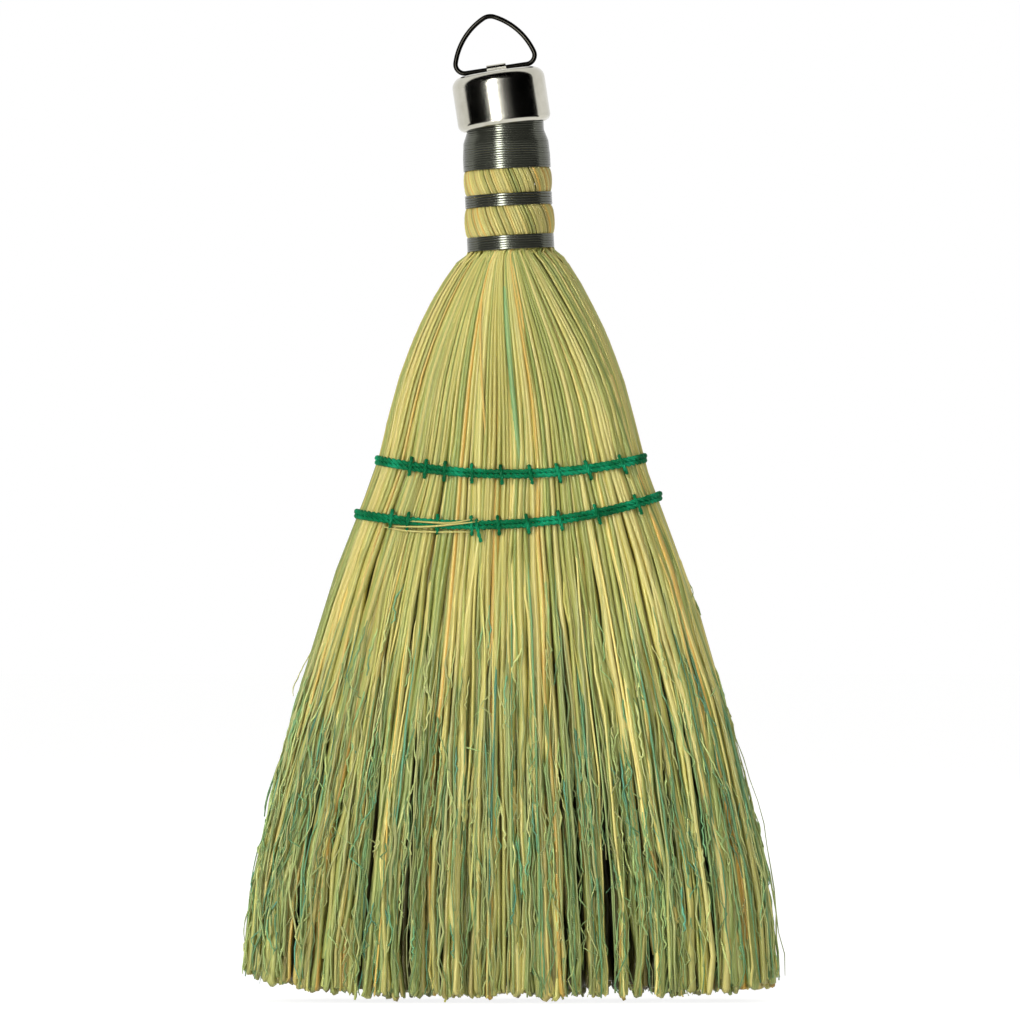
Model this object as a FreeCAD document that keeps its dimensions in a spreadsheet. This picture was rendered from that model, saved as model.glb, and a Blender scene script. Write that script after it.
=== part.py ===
"""Whisk broom: straw tufts wired round a stalk core, sewn flat with twine, under a metal cap and ring.

Millimetres, +Z up. The origin is the middle of the trimmed straw, where the broom stands,
+X runs along the width of the sweep and -Y is the front. The handle leans to -X, and the cap
leans a little further.
"""
import FreeCAD, Part
import math
import os
from FreeCAD import Placement, Rotation, Vector

SIZES = {
    # straw below the neck
    "sweep_width": 168.0,
    "sweep_depth": 37.0,
    "skirt_length": 231.3,
    "shoulder_swell": 1.4,
    "left_trim_rise": 7.0,
    "right_trim_rise": 4.5,
    "tuft_gap": 0.4,
    "middle_gap": 0.8,
    "lock_furrow": 2.2,
    # the two sewn rows
    "upper_row_height": 162.5,
    "upper_row_rise": 4.6,
    "upper_row_width": 81.4,
    "upper_row_middle_width": 85.2,
    "upper_row_depth": 25.0,
    "lower_row_height": 147.1,
    "lower_row_rise": 5.9,
    "lower_row_width": 92.4,
    "lower_row_middle_width": 96.6,
    "lower_row_depth": 26.0,
    "twine_diameter": 1.2,
    "twine_gap": 0.5,
    "twine_clearance": 0.35,
    "stitch_corner_radius": 1.3,
    # handle, measured up from the neck along its own axis
    "handle_lean": 2.7,
    "handle_twist": 80.0,
    "handle_radius": 12.75,
    "cap_end_radius": 11.2,
    "cover_thickness": 2.5,
    "lower_band": 4.9,
    "lower_straw": 8.4,
    "lower_straw_swell": 1.6,
    "middle_band": 4.6,
    "upper_straw": 6.9,
    "upper_straw_swell": 1.0,
    "upper_band": 13.8,
    "wire_under_cap": 5.0,
    "straw_under_cap": 12.4,
    "stalk_setback": 1.0,
    "stalk_gap": 0.16,
    # binding wire
    "wire_diameter": 0.9,
    "wire_gap": 0.47,
    "wire_clearance": 0.22,
    "core_band_height": 20.0,
    # cap, drawn from sheet
    "cap_tilt": 8.6,
    "cap_height": 16.9,
    "cap_wall": 0.45,
    "cap_shoulder_radius": 3.6,
    "cap_lip_radius": 2.2,
    "cap_lip_inset": 1.3,
    "cap_lip_clearance": 0.75,
    "cap_seat_clearance": 0.3,
    "strap_width": 6.0,
    "strap_sheet": 0.45,
    # hanging ring, bent from wire
    "ring_wire": 1.5,
    "ring_clearance": 0.2,
    "ring_width": 24.6,
    "ring_height": 16.3,
    "ring_corner_radius": 2.8,
    "ring_side_radius": 20.0,
    "ring_apex_radius": 4.0,
    "ring_joint_gap": 0.3,
}

# height down the stretch, width and gap, each as a share of what its stretch covers
SHOULDER_SHARES = (
    (0.044, 0.144, 0.0),
    (0.138, 0.296, 0.0),
    (0.235, 0.422, 0.05),
    (0.331, 0.534, 0.1),
    (0.428, 0.635, 0.2),
    (0.619, 0.798, 0.4),
    (0.81, 0.913, 0.75),
)
FAN_SHARES = (
    (0.111, 0.183, 0.75),
    (0.273, 0.384, 0.3),
    (0.433, 0.59, 0.2),
    (0.595, 0.754, 0.15),
    (0.756, 0.91, 0.1),
    (0.918, 0.984, 0.1),
    (1.0, 1.0, 0.1),
)

# where the tufts part, across the half width, on the sewn rows and on the floor
UPPER_ROW_SHARES = (-0.742, -0.627, -0.483, -0.284, -0.07, 0.141, 0.343, 0.565, 0.83)
LOWER_ROW_SHARES = (-0.771, -0.66, -0.468, -0.25, -0.08, 0.105, 0.315, 0.562, 0.845)
FLOOR_SHARES = (-0.78, -0.63, -0.44, -0.23, -0.06, 0.12, 0.32, 0.56, 0.81)

# how deep the crown of each lock of a side tuft lies, from front to back, as a share of the furrows
LEFT_CROWN_SHARES = (0.25, 0.05, 0.0, 0.2, 0.0, 0.3, 0.05, 0.35, 0.1)
RIGHT_CROWN_SHARES = (0.1, 0.35, 0.0, 0.25, 0.0, 0.15, 0.3, 0.0, 0.3)
# where the one furrow of each tuft in front or behind lies, across the tuft
FURROW_SHARES = (0.56, 0.44, 0.58, 0.47, 0.53, 0.42, 0.57, 0.45)

END_ROUND_SHARE = 0.85
CORE_CLOSE_SHARE = 0.331
LEAN_FADE_SHARE = 0.235
FLAT_TRIM_SHARE = 0.45
TAPER_START_SHARE = 0.35
TAPER_MID_SHARE = 0.7
TAPER_MID_RADIUS_SHARE = 0.75
STALK_TAPER_SHARE = 0.97
STRAIGHT_SHARE = 1e-9

ROW_TURNS = 2
QUARTERS = 4
POINTS_PER_EDGE = 12
STALK_RINGS = 2
SWELL_STEPS = 4
HALF_TURN = 180.0

doc = FreeCAD.newDocument("whisk_broom")
sheet = doc.addObject("Spreadsheet::Sheet", "Sizes")
for row, (alias, value) in enumerate(SIZES.items(), start=1):
    sheet.set(f"A{row}", alias)
    sheet.set(f"B{row}", str(value))
    sheet.setAlias(f"B{row}", alias)
doc.recompute()


def size(alias):
    """A driving dimension, read from the sheet."""
    return float(sheet.get(alias))


def blend(start, end, share):
    """The value that lies a share of the way from start to end."""
    return start + (end - start) * share


def ease(share):
    """A share that starts and stops gently."""
    return share * share * (3 - 2 * share)


# Derived sizes that several pieces share

wire_radius = size("wire_diameter") / 2
wire_pitch = size("wire_diameter") + size("wire_gap")
wire_seat = size("wire_clearance") + wire_radius
twine_radius = size("twine_diameter") / 2
twine_pitch = size("twine_diameter") + size("twine_gap")
stitch_half_gap = twine_radius + size("twine_clearance")

lower_band_top = size("lower_band")
middle_band_bottom = lower_band_top + size("lower_straw")
middle_band_top = middle_band_bottom + size("middle_band")
upper_band_bottom = middle_band_top + size("upper_straw")
cap_base = upper_band_bottom + size("upper_band")
wire_top = cap_base + size("wire_under_cap")
straw_top = cap_base + size("straw_under_cap")

cap_lean = math.radians(size("cap_tilt") - size("handle_lean"))
cap_lip_bore = size("cap_end_radius") + wire_seat + wire_radius + size("cap_lip_clearance")
cap_radius = cap_lip_bore + size("cap_lip_inset")
taper_top = cap_base - cap_radius * math.sin(cap_lean) - size("cap_seat_clearance")
straw_top_radius = (
    cap_radius - size("cap_wall") - size("straw_under_cap") * math.tan(cap_lean) - size("cap_seat_clearance")
)

cover_bore = size("cap_end_radius") - size("cover_thickness")
tuft_half_angle = math.radians(HALF_TURN / (2 * len(UPPER_ROW_SHARES)))
core_winding_radius = cover_bore * math.cos(tuft_half_angle) - size("tuft_gap") - wire_radius
core_radius = core_winding_radius - wire_seat

handle_frame = Placement(Vector(0, 0, size("skirt_length")), Rotation(Vector(0, 1, 0), -size("handle_lean")))
cap_foot = handle_frame.multVec(Vector(0, 0, cap_base))
cap_frame = Placement(cap_foot, Rotation(Vector(0, 1, 0), -size("cap_tilt")))


def handle_profile():
    """Heights above the neck with the radius of the straw there."""
    taper_start = blend(upper_band_bottom, taper_top, TAPER_START_SHARE)
    taper_mid = blend(upper_band_bottom, taper_top, TAPER_MID_SHARE)
    taper_mid_radius = blend(size("cap_end_radius"), size("handle_radius"), TAPER_MID_RADIUS_SHARE)
    return (
        [(0, size("handle_radius"))]
        + swollen_straw(lower_band_top, middle_band_bottom, size("lower_straw_swell"))
        + swollen_straw(middle_band_top, upper_band_bottom, size("upper_straw_swell"))
        + [
            (taper_start, size("handle_radius")),
            (taper_mid, taper_mid_radius),
            (taper_top, size("cap_end_radius")),
            (wire_top, size("cap_end_radius")),
            (straw_top, straw_top_radius),
        ]
    )


def swollen_straw(bottom, top, swell):
    """Heights and radii of a stretch of bare straw that swells between two wire bands."""
    steps = [step / SWELL_STEPS for step in range(SWELL_STEPS + 1)]
    return [
        (blend(bottom, top, share), size("handle_radius") + swell * math.sin(math.pi * share))
        for share in steps
    ]


def oval_end_radius(half_depth):
    """Radius of the rounded ends of the broom's oval section."""
    return END_ROUND_SHARE * half_depth


def oval_flat_radius(half_width, half_depth):
    """Radius of the long, nearly flat sides of the oval section."""
    end = oval_end_radius(half_depth)
    return ((half_width - end) ** 2 + half_depth**2 - end**2) / (2 * (half_depth - end))


def oval_depth(x, half_width, half_depth, offset=0):
    """Half depth at x of a four-centre oval, or of the line that lies outside it by offset.

    The oval is a circle where width and depth agree.
    """
    end = oval_end_radius(half_depth) + offset
    flat = oval_flat_radius(half_width, half_depth) + offset
    half_width += offset
    half_depth += offset
    joint = (half_width - end) * flat / (flat - end)
    if abs(x) <= joint:
        return half_depth - flat + math.sqrt(max(0, flat**2 - x**2))
    return math.sqrt(max(0, end**2 - (abs(x) - half_width + end) ** 2))


class Row:
    """One sewn row: where its twine lies on the straw."""

    def __init__(self, name, shares):
        self.shares = shares
        self.height = size(f"{name}_row_height")
        self.rise = size(f"{name}_row_rise")
        self.end_height = self.height + self.rise
        self.half_width = size(f"{name}_row_width") / 2
        self.middle_half_width = size(f"{name}_row_middle_width") / 2
        self.half_depth = size(f"{name}_row_depth") / 2
        self.wrap_offset = size("twine_clearance") + twine_radius
        self.stitch_offset = self.wrap_offset + 2 * twine_radius + size("twine_clearance")
        self.stitch_reach = twine_pitch / 2 + 2 * twine_radius + size("twine_clearance")
        self.foot_height = self.height - twine_pitch / 2 - self.stitch_reach - twine_radius

    def half_width_at(self, z):
        """Half width of the straw near the row, which widens from the row's ends down to its middle."""
        return blend(self.half_width, self.middle_half_width, (self.end_height - z) / self.rise)

    def level(self, share, face):
        """Height of the middle of the wrap, whose two turns climb as they go round."""
        climb = share / QUARTERS
        if face > 0:
            climb = math.copysign(1 / 2, share) - climb
        return self.height + self.rise * share**2 + twine_pitch * climb

    def stitch_corner(self, share, face, step):
        """Corner of the thread above or below the wrap, in line with the parting that it goes through."""
        z = self.level(share, face) + step * self.stitch_reach
        half_width = self.half_width_at(z)
        x = share * half_width
        return Vector(x, face * oval_depth(x, half_width, self.half_depth, self.stitch_offset), z)


class Section:
    """One cross-section of the whole bundle, from which every tuft takes its own piece."""

    def __init__(self, frame, half_width, half_depth, core_width, core_depth, angles, gap, furrow=0, trimmed=False):
        self.frame = frame
        self.half_width = half_width
        self.half_depth = half_depth
        self.core_width = core_width
        self.core_depth = core_depth
        self.angles = angles
        self.gap = gap
        self.furrow = furrow
        self.trimmed = trimmed

    def outer(self, angle, face):
        """Point of the outline. The angle is taken from -X, and face is -1 in front, 1 behind."""
        x = -self.half_width * math.cos(angle)
        return Vector(x, face * oval_depth(x, self.half_width, self.half_depth), 0)

    def side_point(self, left, share, depth):
        """Point round a side tuft, a share of the way from its front parting to its back one, sunk by depth."""
        edge_angle = self.angles[0] if left else self.angles[-1]
        tip_angle = 0 if left else math.pi
        angle = blend(tip_angle, edge_angle, abs(1 - 2 * share))
        point = self.outer(angle, 1 if share > 1 / 2 else -1)
        centre = self.half_width - oval_end_radius(self.half_depth)
        inward = Vector(-centre if left else centre, 0, 0) - point
        return point + inward.normalize() * depth

    def inner(self, angle, face):
        """Point of the hollow that holds the stalk core, which closes up below the neck."""
        return Vector(-self.core_width * math.cos(angle), face * self.core_depth * math.sin(angle), 0)

    def parting(self, index, face, step):
        """Inner and outer end of a parting's edge, half a gap to one side of its middle."""
        inner = self.inner(self.angles[index], face)
        outer = self.outer(self.angles[index], face)
        along = (outer - inner).normalize()
        across = Vector(-along.y, along.x, 0)
        if across.x < 0:
            across = -across
        shift = across * (step * self.gap)
        return inner + shift, outer + shift

    def place(self, points):
        """Points in the broom's frame. On the floor they follow the trimmed line."""
        if not self.trimmed:
            return [self.frame.multVec(point) for point in points]
        left = min(point.x for point in points)
        right = max(point.x for point in points)
        low, high = trim_height(left), trim_height(right)
        return [
            Vector(p.x, p.y, blend(low, high, (p.x - left) / (right - left)))
            for p in points
        ]


def trim_height(x):
    """How far the trimmed ends rise off the floor, which is only towards the corners."""
    share = abs(x) / (size("sweep_width") / 2)
    rise = size("left_trim_rise") if x < 0 else size("right_trim_rise")
    return rise * max(0, (share - FLAT_TRIM_SHARE) / (1 - FLAT_TRIM_SHARE)) ** 2


def share_angles(shares):
    """Angles at which the partings cross the half width at the given shares."""
    return [math.acos(-share) for share in shares]


def even_angles():
    """Angles of the partings round the handle, all tufts alike."""
    return [tuft_half_angle * (2 * index + 1) for index in range(len(UPPER_ROW_SHARES))]


def blend_angles(start, end, share):
    return [blend(a, b, share) for a, b in zip(start, end)]


def handle_section(height, radius):
    """Round section of the handle, turned by the twist of its straw."""
    turn = -size("handle_twist") * height / straw_top
    frame = handle_frame.multiply(Placement(Vector(0, 0, height), Rotation(Vector(0, 0, 1), turn)))
    return Section(frame, radius, radius, cover_bore, cover_bore, even_angles(), size("tuft_gap") / 2)


def level_frame(z, lean=0):
    return Placement(Vector(0, 0, z), Rotation(Vector(0, 1, 0), -lean))


def stretch_gap(share):
    return blend(size("tuft_gap") / 2, stitch_half_gap, share)


def skirt_sections():
    """Sections from just below the neck to the floor."""
    neck = size("skirt_length")
    upper_row, lower_row = Row("upper", UPPER_ROW_SHARES), Row("lower", LOWER_ROW_SHARES)
    upper_angles = share_angles(UPPER_ROW_SHARES)
    lower_angles = share_angles(LOWER_ROW_SHARES)
    floor_angles = share_angles(FLOOR_SHARES)
    slit = size("middle_gap") / 2
    sections = []

    for drop, spread, gap in SHOULDER_SHARES:
        width = blend(size("handle_radius"), upper_row.half_width, spread)
        swell = size("shoulder_swell") * math.sin(math.pi * drop)
        depth = blend(size("handle_radius"), upper_row.half_depth, drop) + swell
        closing = min(1, drop / CORE_CLOSE_SHARE)
        core_width = blend(cover_bore, width, closing)
        core_depth = blend(cover_bore, slit, 1 - (1 - closing) ** 2)
        lean = size("handle_lean") * max(0, 1 - drop / LEAN_FADE_SHARE)
        angles = blend_angles(even_angles(), upper_angles, ease(drop))
        frame = level_frame(blend(neck, upper_row.end_height, drop), lean)
        sections.append(Section(frame, width, depth, core_width, core_depth, angles, stretch_gap(gap)))

    for row, angles in ((upper_row, upper_angles), (lower_row, lower_angles)):
        for z in (row.end_height, row.height, row.foot_height):
            width = row.half_width_at(z)
            frame = level_frame(z)
            sections.append(Section(frame, width, row.half_depth, width, slit, angles, stitch_half_gap))

    for drop, spread, gap in FAN_SHARES:
        width = blend(lower_row.half_width, size("sweep_width") / 2, spread)
        depth = blend(lower_row.half_depth, size("sweep_depth") / 2, drop)
        angles = blend_angles(lower_angles, floor_angles, ease(drop))
        frame = level_frame(lower_row.end_height * (1 - drop))
        on_floor = drop == 1
        furrow = size("lock_furrow") * math.sin(math.pi / 2 * drop)
        sections.append(Section(frame, width, depth, width, slit, angles, stretch_gap(gap), furrow, on_floor))
    return sections


def bundle_sections():
    """Every section of the straw, from inside the cap to the floor."""
    handle = [handle_section(height, radius) for height, radius in reversed(handle_profile())]
    return handle + skirt_sections()


def closed_wire(corners, arcs):
    """Wire through corners in order. arcs maps an edge's index to the point that it bows through."""
    edges = []
    for index, start in enumerate(corners):
        end = corners[(index + 1) % len(corners)]
        if index in arcs:
            edges.append(Part.Arc(start, arcs[index], end).toShape())
        else:
            edges.append(Part.LineSegment(start, end).toShape())
    return Part.Wire(edges)


def face_tuft_wire(section, index, face):
    """Section of a front or back tuft between two partings, which falls into two locks towards the floor."""
    inner_a, outer_a = section.parting(index, face, 1)
    inner_b, outer_b = section.parting(index + 1, face, -1)
    start, end = section.angles[index], section.angles[index + 1]
    middle = blend(start, end, FURROW_SHARES[index if face < 0 else -1 - index])
    furrow = section.outer(middle, face) - Vector(0, face * section.furrow, 0)
    bows = [section.outer((start + middle) / 2, face), section.outer((middle + end) / 2, face)]
    placed = section.place([inner_a, outer_a, furrow, outer_b, inner_b] + bows)
    return closed_wire(placed[:-2], {1: placed[-2], 2: placed[-1]})


def side_tuft_wire(section, left):
    """Section of a side tuft, which falls into locks with furrows between them towards the floor."""
    index = 0 if left else len(section.angles) - 1
    step = -1 if left else 1
    crowns = LEFT_CROWN_SHARES if left else RIGHT_CROWN_SHARES
    front_inner, front_outer = section.parting(index, -1, step)
    back_inner, back_outer = section.parting(index, 1, step)
    furrows = [section.side_point(left, lock / len(crowns), section.furrow) for lock in range(1, len(crowns))]
    bows = [
        section.side_point(left, (lock + 1 / 2) / len(crowns), section.furrow * crown)
        for lock, crown in enumerate(crowns)
    ]
    corners = [front_inner, front_outer] + furrows + [back_outer, back_inner]
    placed = section.place(corners + bows)
    corners, bows = placed[: len(corners)], placed[len(corners) :]
    return closed_wire(corners, dict(enumerate(bows, start=1)))


def add_shape(label, shape, placement=Placement()):
    """Sub-part whose solid is worked out here from the sheet's sizes."""
    feature = doc.addObject("Part::Feature", label)
    feature.Label = label
    feature.Shape = shape
    feature.Placement = placement
    return feature


def add_tufts():
    """The straw: two side tufts, and a row of tufts in front and behind, each whole from cap to floor."""
    sections = bundle_sections()
    tufts = []
    for label, left in (("left_side_tuft", True), ("right_side_tuft", False)):
        wires = [side_tuft_wire(section, left) for section in sections]
        tufts.append(add_shape(label, Part.makeLoft(wires, True, True)))
    for name, face in (("front_tuft", -1), ("back_tuft", 1)):
        for index in range(len(UPPER_ROW_SHARES) - 1):
            wires = [face_tuft_wire(section, index, face) for section in sections]
            tufts.append(add_shape(f"{name}_{index + 1}", Part.makeLoft(wires, True, True)))
    return tufts


# Tubes: binding wire, twine and the ring


def arc_from_tangent(start, tangent, end):
    """Arc that leaves start along tangent and reaches end."""
    chord = end - start
    along = Vector(chord).normalize()
    side = tangent - along * tangent.dot(along)
    if side.Length < STRAIGHT_SHARE:
        return Part.LineSegment(start, end).toShape()
    half_turn = math.acos(max(-1, min(1, tangent.dot(along))))
    bow = start + chord / 2 + side.normalize() * (chord.Length / 2 * math.tan(half_turn / 2))
    return Part.Arc(start, bow, end).toShape()


def biarc(start, start_tangent, end, end_tangent, first_reach):
    """Two arcs that meet smoothly. first_reach is how far the first one's tangent reaches."""
    chord = end - start
    turn = 1 - start_tangent.dot(end_tangent)
    second_reach = (chord.dot(chord) / 2 - first_reach * chord.dot(start_tangent)) / (
        chord.dot(end_tangent) + first_reach * turn
    )
    corner_a = start + start_tangent * first_reach
    corner_b = end - end_tangent * second_reach
    middle = corner_a + (corner_b - corner_a) * (first_reach / (first_reach + second_reach))
    middle_tangent = (corner_b - corner_a).normalize()
    return [arc_from_tangent(start, start_tangent, middle), arc_from_tangent(middle, middle_tangent, end)]


def even_reach(start, start_tangent, end, end_tangent):
    """Tangent reach that both arcs of a biarc share."""
    chord = end - start
    both = chord.dot(start_tangent + end_tangent)
    turn = 1 - start_tangent.dot(end_tangent)
    return (math.sqrt(both**2 + 2 * turn * chord.dot(chord)) - both) / (2 * turn)


def straight_ends(points, tangents, length):
    """Straight runs before the first point and after the last one."""
    lead_in = Part.LineSegment(points[0] - tangents[0] * length, points[0]).toShape()
    lead_out = Part.LineSegment(points[-1], points[-1] + tangents[-1] * length).toShape()
    return lead_in, lead_out


def tube(edges, diameter):
    """Solid round tube along smoothly joined edges."""
    path = Part.Wire(edges)
    first = edges[0]
    start = first.valueAt(first.FirstParameter)
    heading = first.tangentAt(first.FirstParameter)
    profile = Part.Wire(Part.makeCircle(diameter / 2, start, heading))
    shell = Part.BRepOffsetAPI.MakePipeShell(path)
    shell.add(profile)
    shell.build()
    shell.makeSolid()
    return shell.shape()


def report_self_gap(label, edges, diameter, apart):
    """Print the least gap of a winding to itself, between points further apart along it than apart."""
    points, travelled, total = [], [], 0
    for edge in edges:
        for step in range(POINTS_PER_EDGE):
            share = step / POINTS_PER_EDGE
            points.append(edge.valueAt(blend(edge.FirstParameter, edge.LastParameter, share)))
            travelled.append(total + edge.Length * share)
        total += edge.Length
    least = min(
        (points[i] - points[j]).Length
        for i in range(len(points))
        for j in range(i)
        if travelled[i] - travelled[j] > apart
    )
    print(f"{label}: {total:.1f} long, least gap to itself {least - diameter:.3f}")


def winding_radius(height):
    """Middle of the binding wire on the straw at a height of the handle."""
    profile = handle_profile()
    for (low, low_radius), (high, high_radius) in zip(profile, profile[1:]):
        if low <= height <= high:
            return blend(low_radius, high_radius, (height - low) / (high - low)) + wire_seat
    raise ValueError(f"no straw at {height}")


def add_winding(label, bottom, top, radius_at):
    """Binding wire: one tube that climbs in quarter turns, its ends straight."""
    climb = top - bottom - size("wire_diameter")
    quarters = max(1, math.floor(QUARTERS * climb / wire_pitch))
    points, tangents = [], []
    for quarter in range(quarters + 1):
        angle = 2 * math.pi * quarter / QUARTERS + math.pi / 2
        height = bottom + wire_radius + climb * quarter / quarters
        radius = radius_at(height)
        points.append(Vector(radius * math.cos(angle), radius * math.sin(angle), height))
        rise = climb / quarters * QUARTERS / (2 * math.pi)
        heading = Vector(-radius * math.sin(angle), radius * math.cos(angle), rise)
        tangents.append(heading.normalize())
    edges = []
    for index in range(quarters):
        ends = (points[index], tangents[index], points[index + 1], tangents[index + 1])
        edges += biarc(*ends, even_reach(*ends))
    lead_in, lead_out = straight_ends(points, tangents, size("wire_diameter"))
    edges = [lead_in] + edges + [lead_out]
    report_self_gap(label, edges, size("wire_diameter"), math.pi * min(radius_at(bottom), radius_at(top)))
    return add_shape(label, tube(edges, size("wire_diameter")), handle_frame)


def add_windings():
    """Wire on the stalk core, and the three wire bands that show on the handle."""
    band_radius = size("handle_radius") + wire_seat
    core_bottom = middle_band_bottom
    core_top = core_bottom + size("core_band_height")
    return [
        add_winding("core_wire_winding", core_bottom, core_top, lambda height: core_winding_radius),
        add_winding("lower_wire_winding", 0, lower_band_top, lambda height: band_radius),
        add_winding("middle_wire_winding", middle_band_bottom, middle_band_top, lambda height: band_radius),
        add_winding("upper_wire_winding", upper_band_bottom, wire_top, winding_radius),
    ]


def add_wrap(label, row):
    """Twine laid twice round the straw, from the middle of the back."""
    half_width = row.half_width + row.wrap_offset
    half_depth = row.half_depth + row.wrap_offset
    end = oval_end_radius(row.half_depth) + row.wrap_offset
    flat = oval_flat_radius(row.half_width, row.half_depth) + row.wrap_offset
    end_turn = math.pi / 2 - math.atan2(half_width - end, flat - half_depth)
    flat_turn = math.pi / 2 - end_turn
    end_reach = end * math.tan(end_turn / 2)
    flat_reach = flat * math.tan(flat_turn / 2)
    around = 2 * math.pi * (half_width + half_depth) / 2
    corners = ((0, 1, flat_reach), (-1, 0, end_reach), (0, -1, flat_reach), (1, 0, end_reach))
    points, tangents, reaches = [], [], []
    for quarter in range(ROW_TURNS * QUARTERS + 1):
        side, face, reach = corners[quarter % QUARTERS]
        z = row.height + row.rise * abs(side) + twine_pitch * (quarter / QUARTERS - 1)
        x = side * (row.half_width_at(z) + row.wrap_offset)
        points.append(Vector(x, face * half_depth, z))
        tangents.append(Vector(-face, side, twine_pitch / around).normalize())
        reaches.append(reach)
    edges = []
    for index in range(ROW_TURNS * QUARTERS):
        ends = (points[index], tangents[index], points[index + 1], tangents[index + 1])
        edges += biarc(*ends, reaches[index])
    lead_in, lead_out = straight_ends(points, tangents, size("twine_diameter"))
    edges = [lead_in] + edges + [lead_out]
    report_self_gap(label, edges, size("twine_diameter"), half_width)
    return add_shape(label, tube(edges, size("twine_diameter")))


def rounded_path(points, radius):
    """Straight runs joined by tangent arcs at each corner."""
    edges = []
    start = points[0]
    for before, corner, after in zip(points, points[1:], points[2:]):
        back = (before - corner).normalize()
        ahead = (after - corner).normalize()
        half_corner = math.acos(max(-1, min(1, back.dot(ahead)))) / 2
        cut = radius / math.tan(half_corner)
        arc_start = corner + back * cut
        arc_end = corner + ahead * cut
        inward = (back + ahead).normalize()
        bow = corner + inward * (radius / math.sin(half_corner) - radius)
        edges.append(Part.LineSegment(start, arc_start).toShape())
        edges.append(Part.Arc(arc_start, bow, arc_end).toShape())
        start = arc_end
    edges.append(Part.LineSegment(start, points[-1]).toShape())
    return edges


def add_stitching(label, row):
    """One thread sewn over the wrap: up in front, through the straw, aslant down the back, through again."""
    points = []
    for share in row.shares:
        for face, step in ((1, -1), (-1, -1), (-1, 1), (1, 1)):
            points.append(row.stitch_corner(share, face, step))
    edges = rounded_path(points, size("stitch_corner_radius"))
    report_self_gap(label, edges, size("twine_diameter"), 2 * row.stitch_reach + row.half_depth)
    return add_shape(label, tube(edges, size("twine_diameter")))


def add_rows():
    """The two sewn rows, each a wrap and the stitching that ties it down."""
    pieces = []
    for name, shares in (("upper", UPPER_ROW_SHARES), ("lower", LOWER_ROW_SHARES)):
        row = Row(name, shares)
        pieces.append(add_wrap(f"{name}_twine_wrap", row))
        pieces.append(add_stitching(f"{name}_stitching", row))
    return pieces


def add_stalk_core():
    """The bundle of cut stalks inside the handle, packed in rings of six."""
    pitch = core_radius / (STALK_RINGS + 1 / 2)
    diameter = pitch - size("stalk_gap")
    length = straw_top - size("stalk_setback")
    stalks = []
    for column in range(-STALK_RINGS, STALK_RINGS + 1):
        for line in range(-STALK_RINGS, STALK_RINGS + 1):
            if abs(column + line) > STALK_RINGS:
                continue
            x = pitch * (column + line / 2)
            y = pitch * line * math.sqrt(3) / 2
            stalk = Part.makeCone(
                diameter / 2, diameter / 2 * STALK_TAPER_SHARE, length, Vector(x, y, size("stalk_setback"))
            )
            stalks.append(stalk)
    return add_shape("stalk_core", Part.makeCompound(stalks), handle_frame)


# The metal cap


def origin_plane(body, role):
    return next(feature for feature in body.Origin.OriginFeatures if feature.Role == role)


def add_sketch(body, name, role):
    sketch = body.newObject("Sketcher::SketchObject", name)
    sketch.AttachmentSupport = [(origin_plane(body, role), "")]
    sketch.MapMode = "FlatFace"
    return sketch


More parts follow.
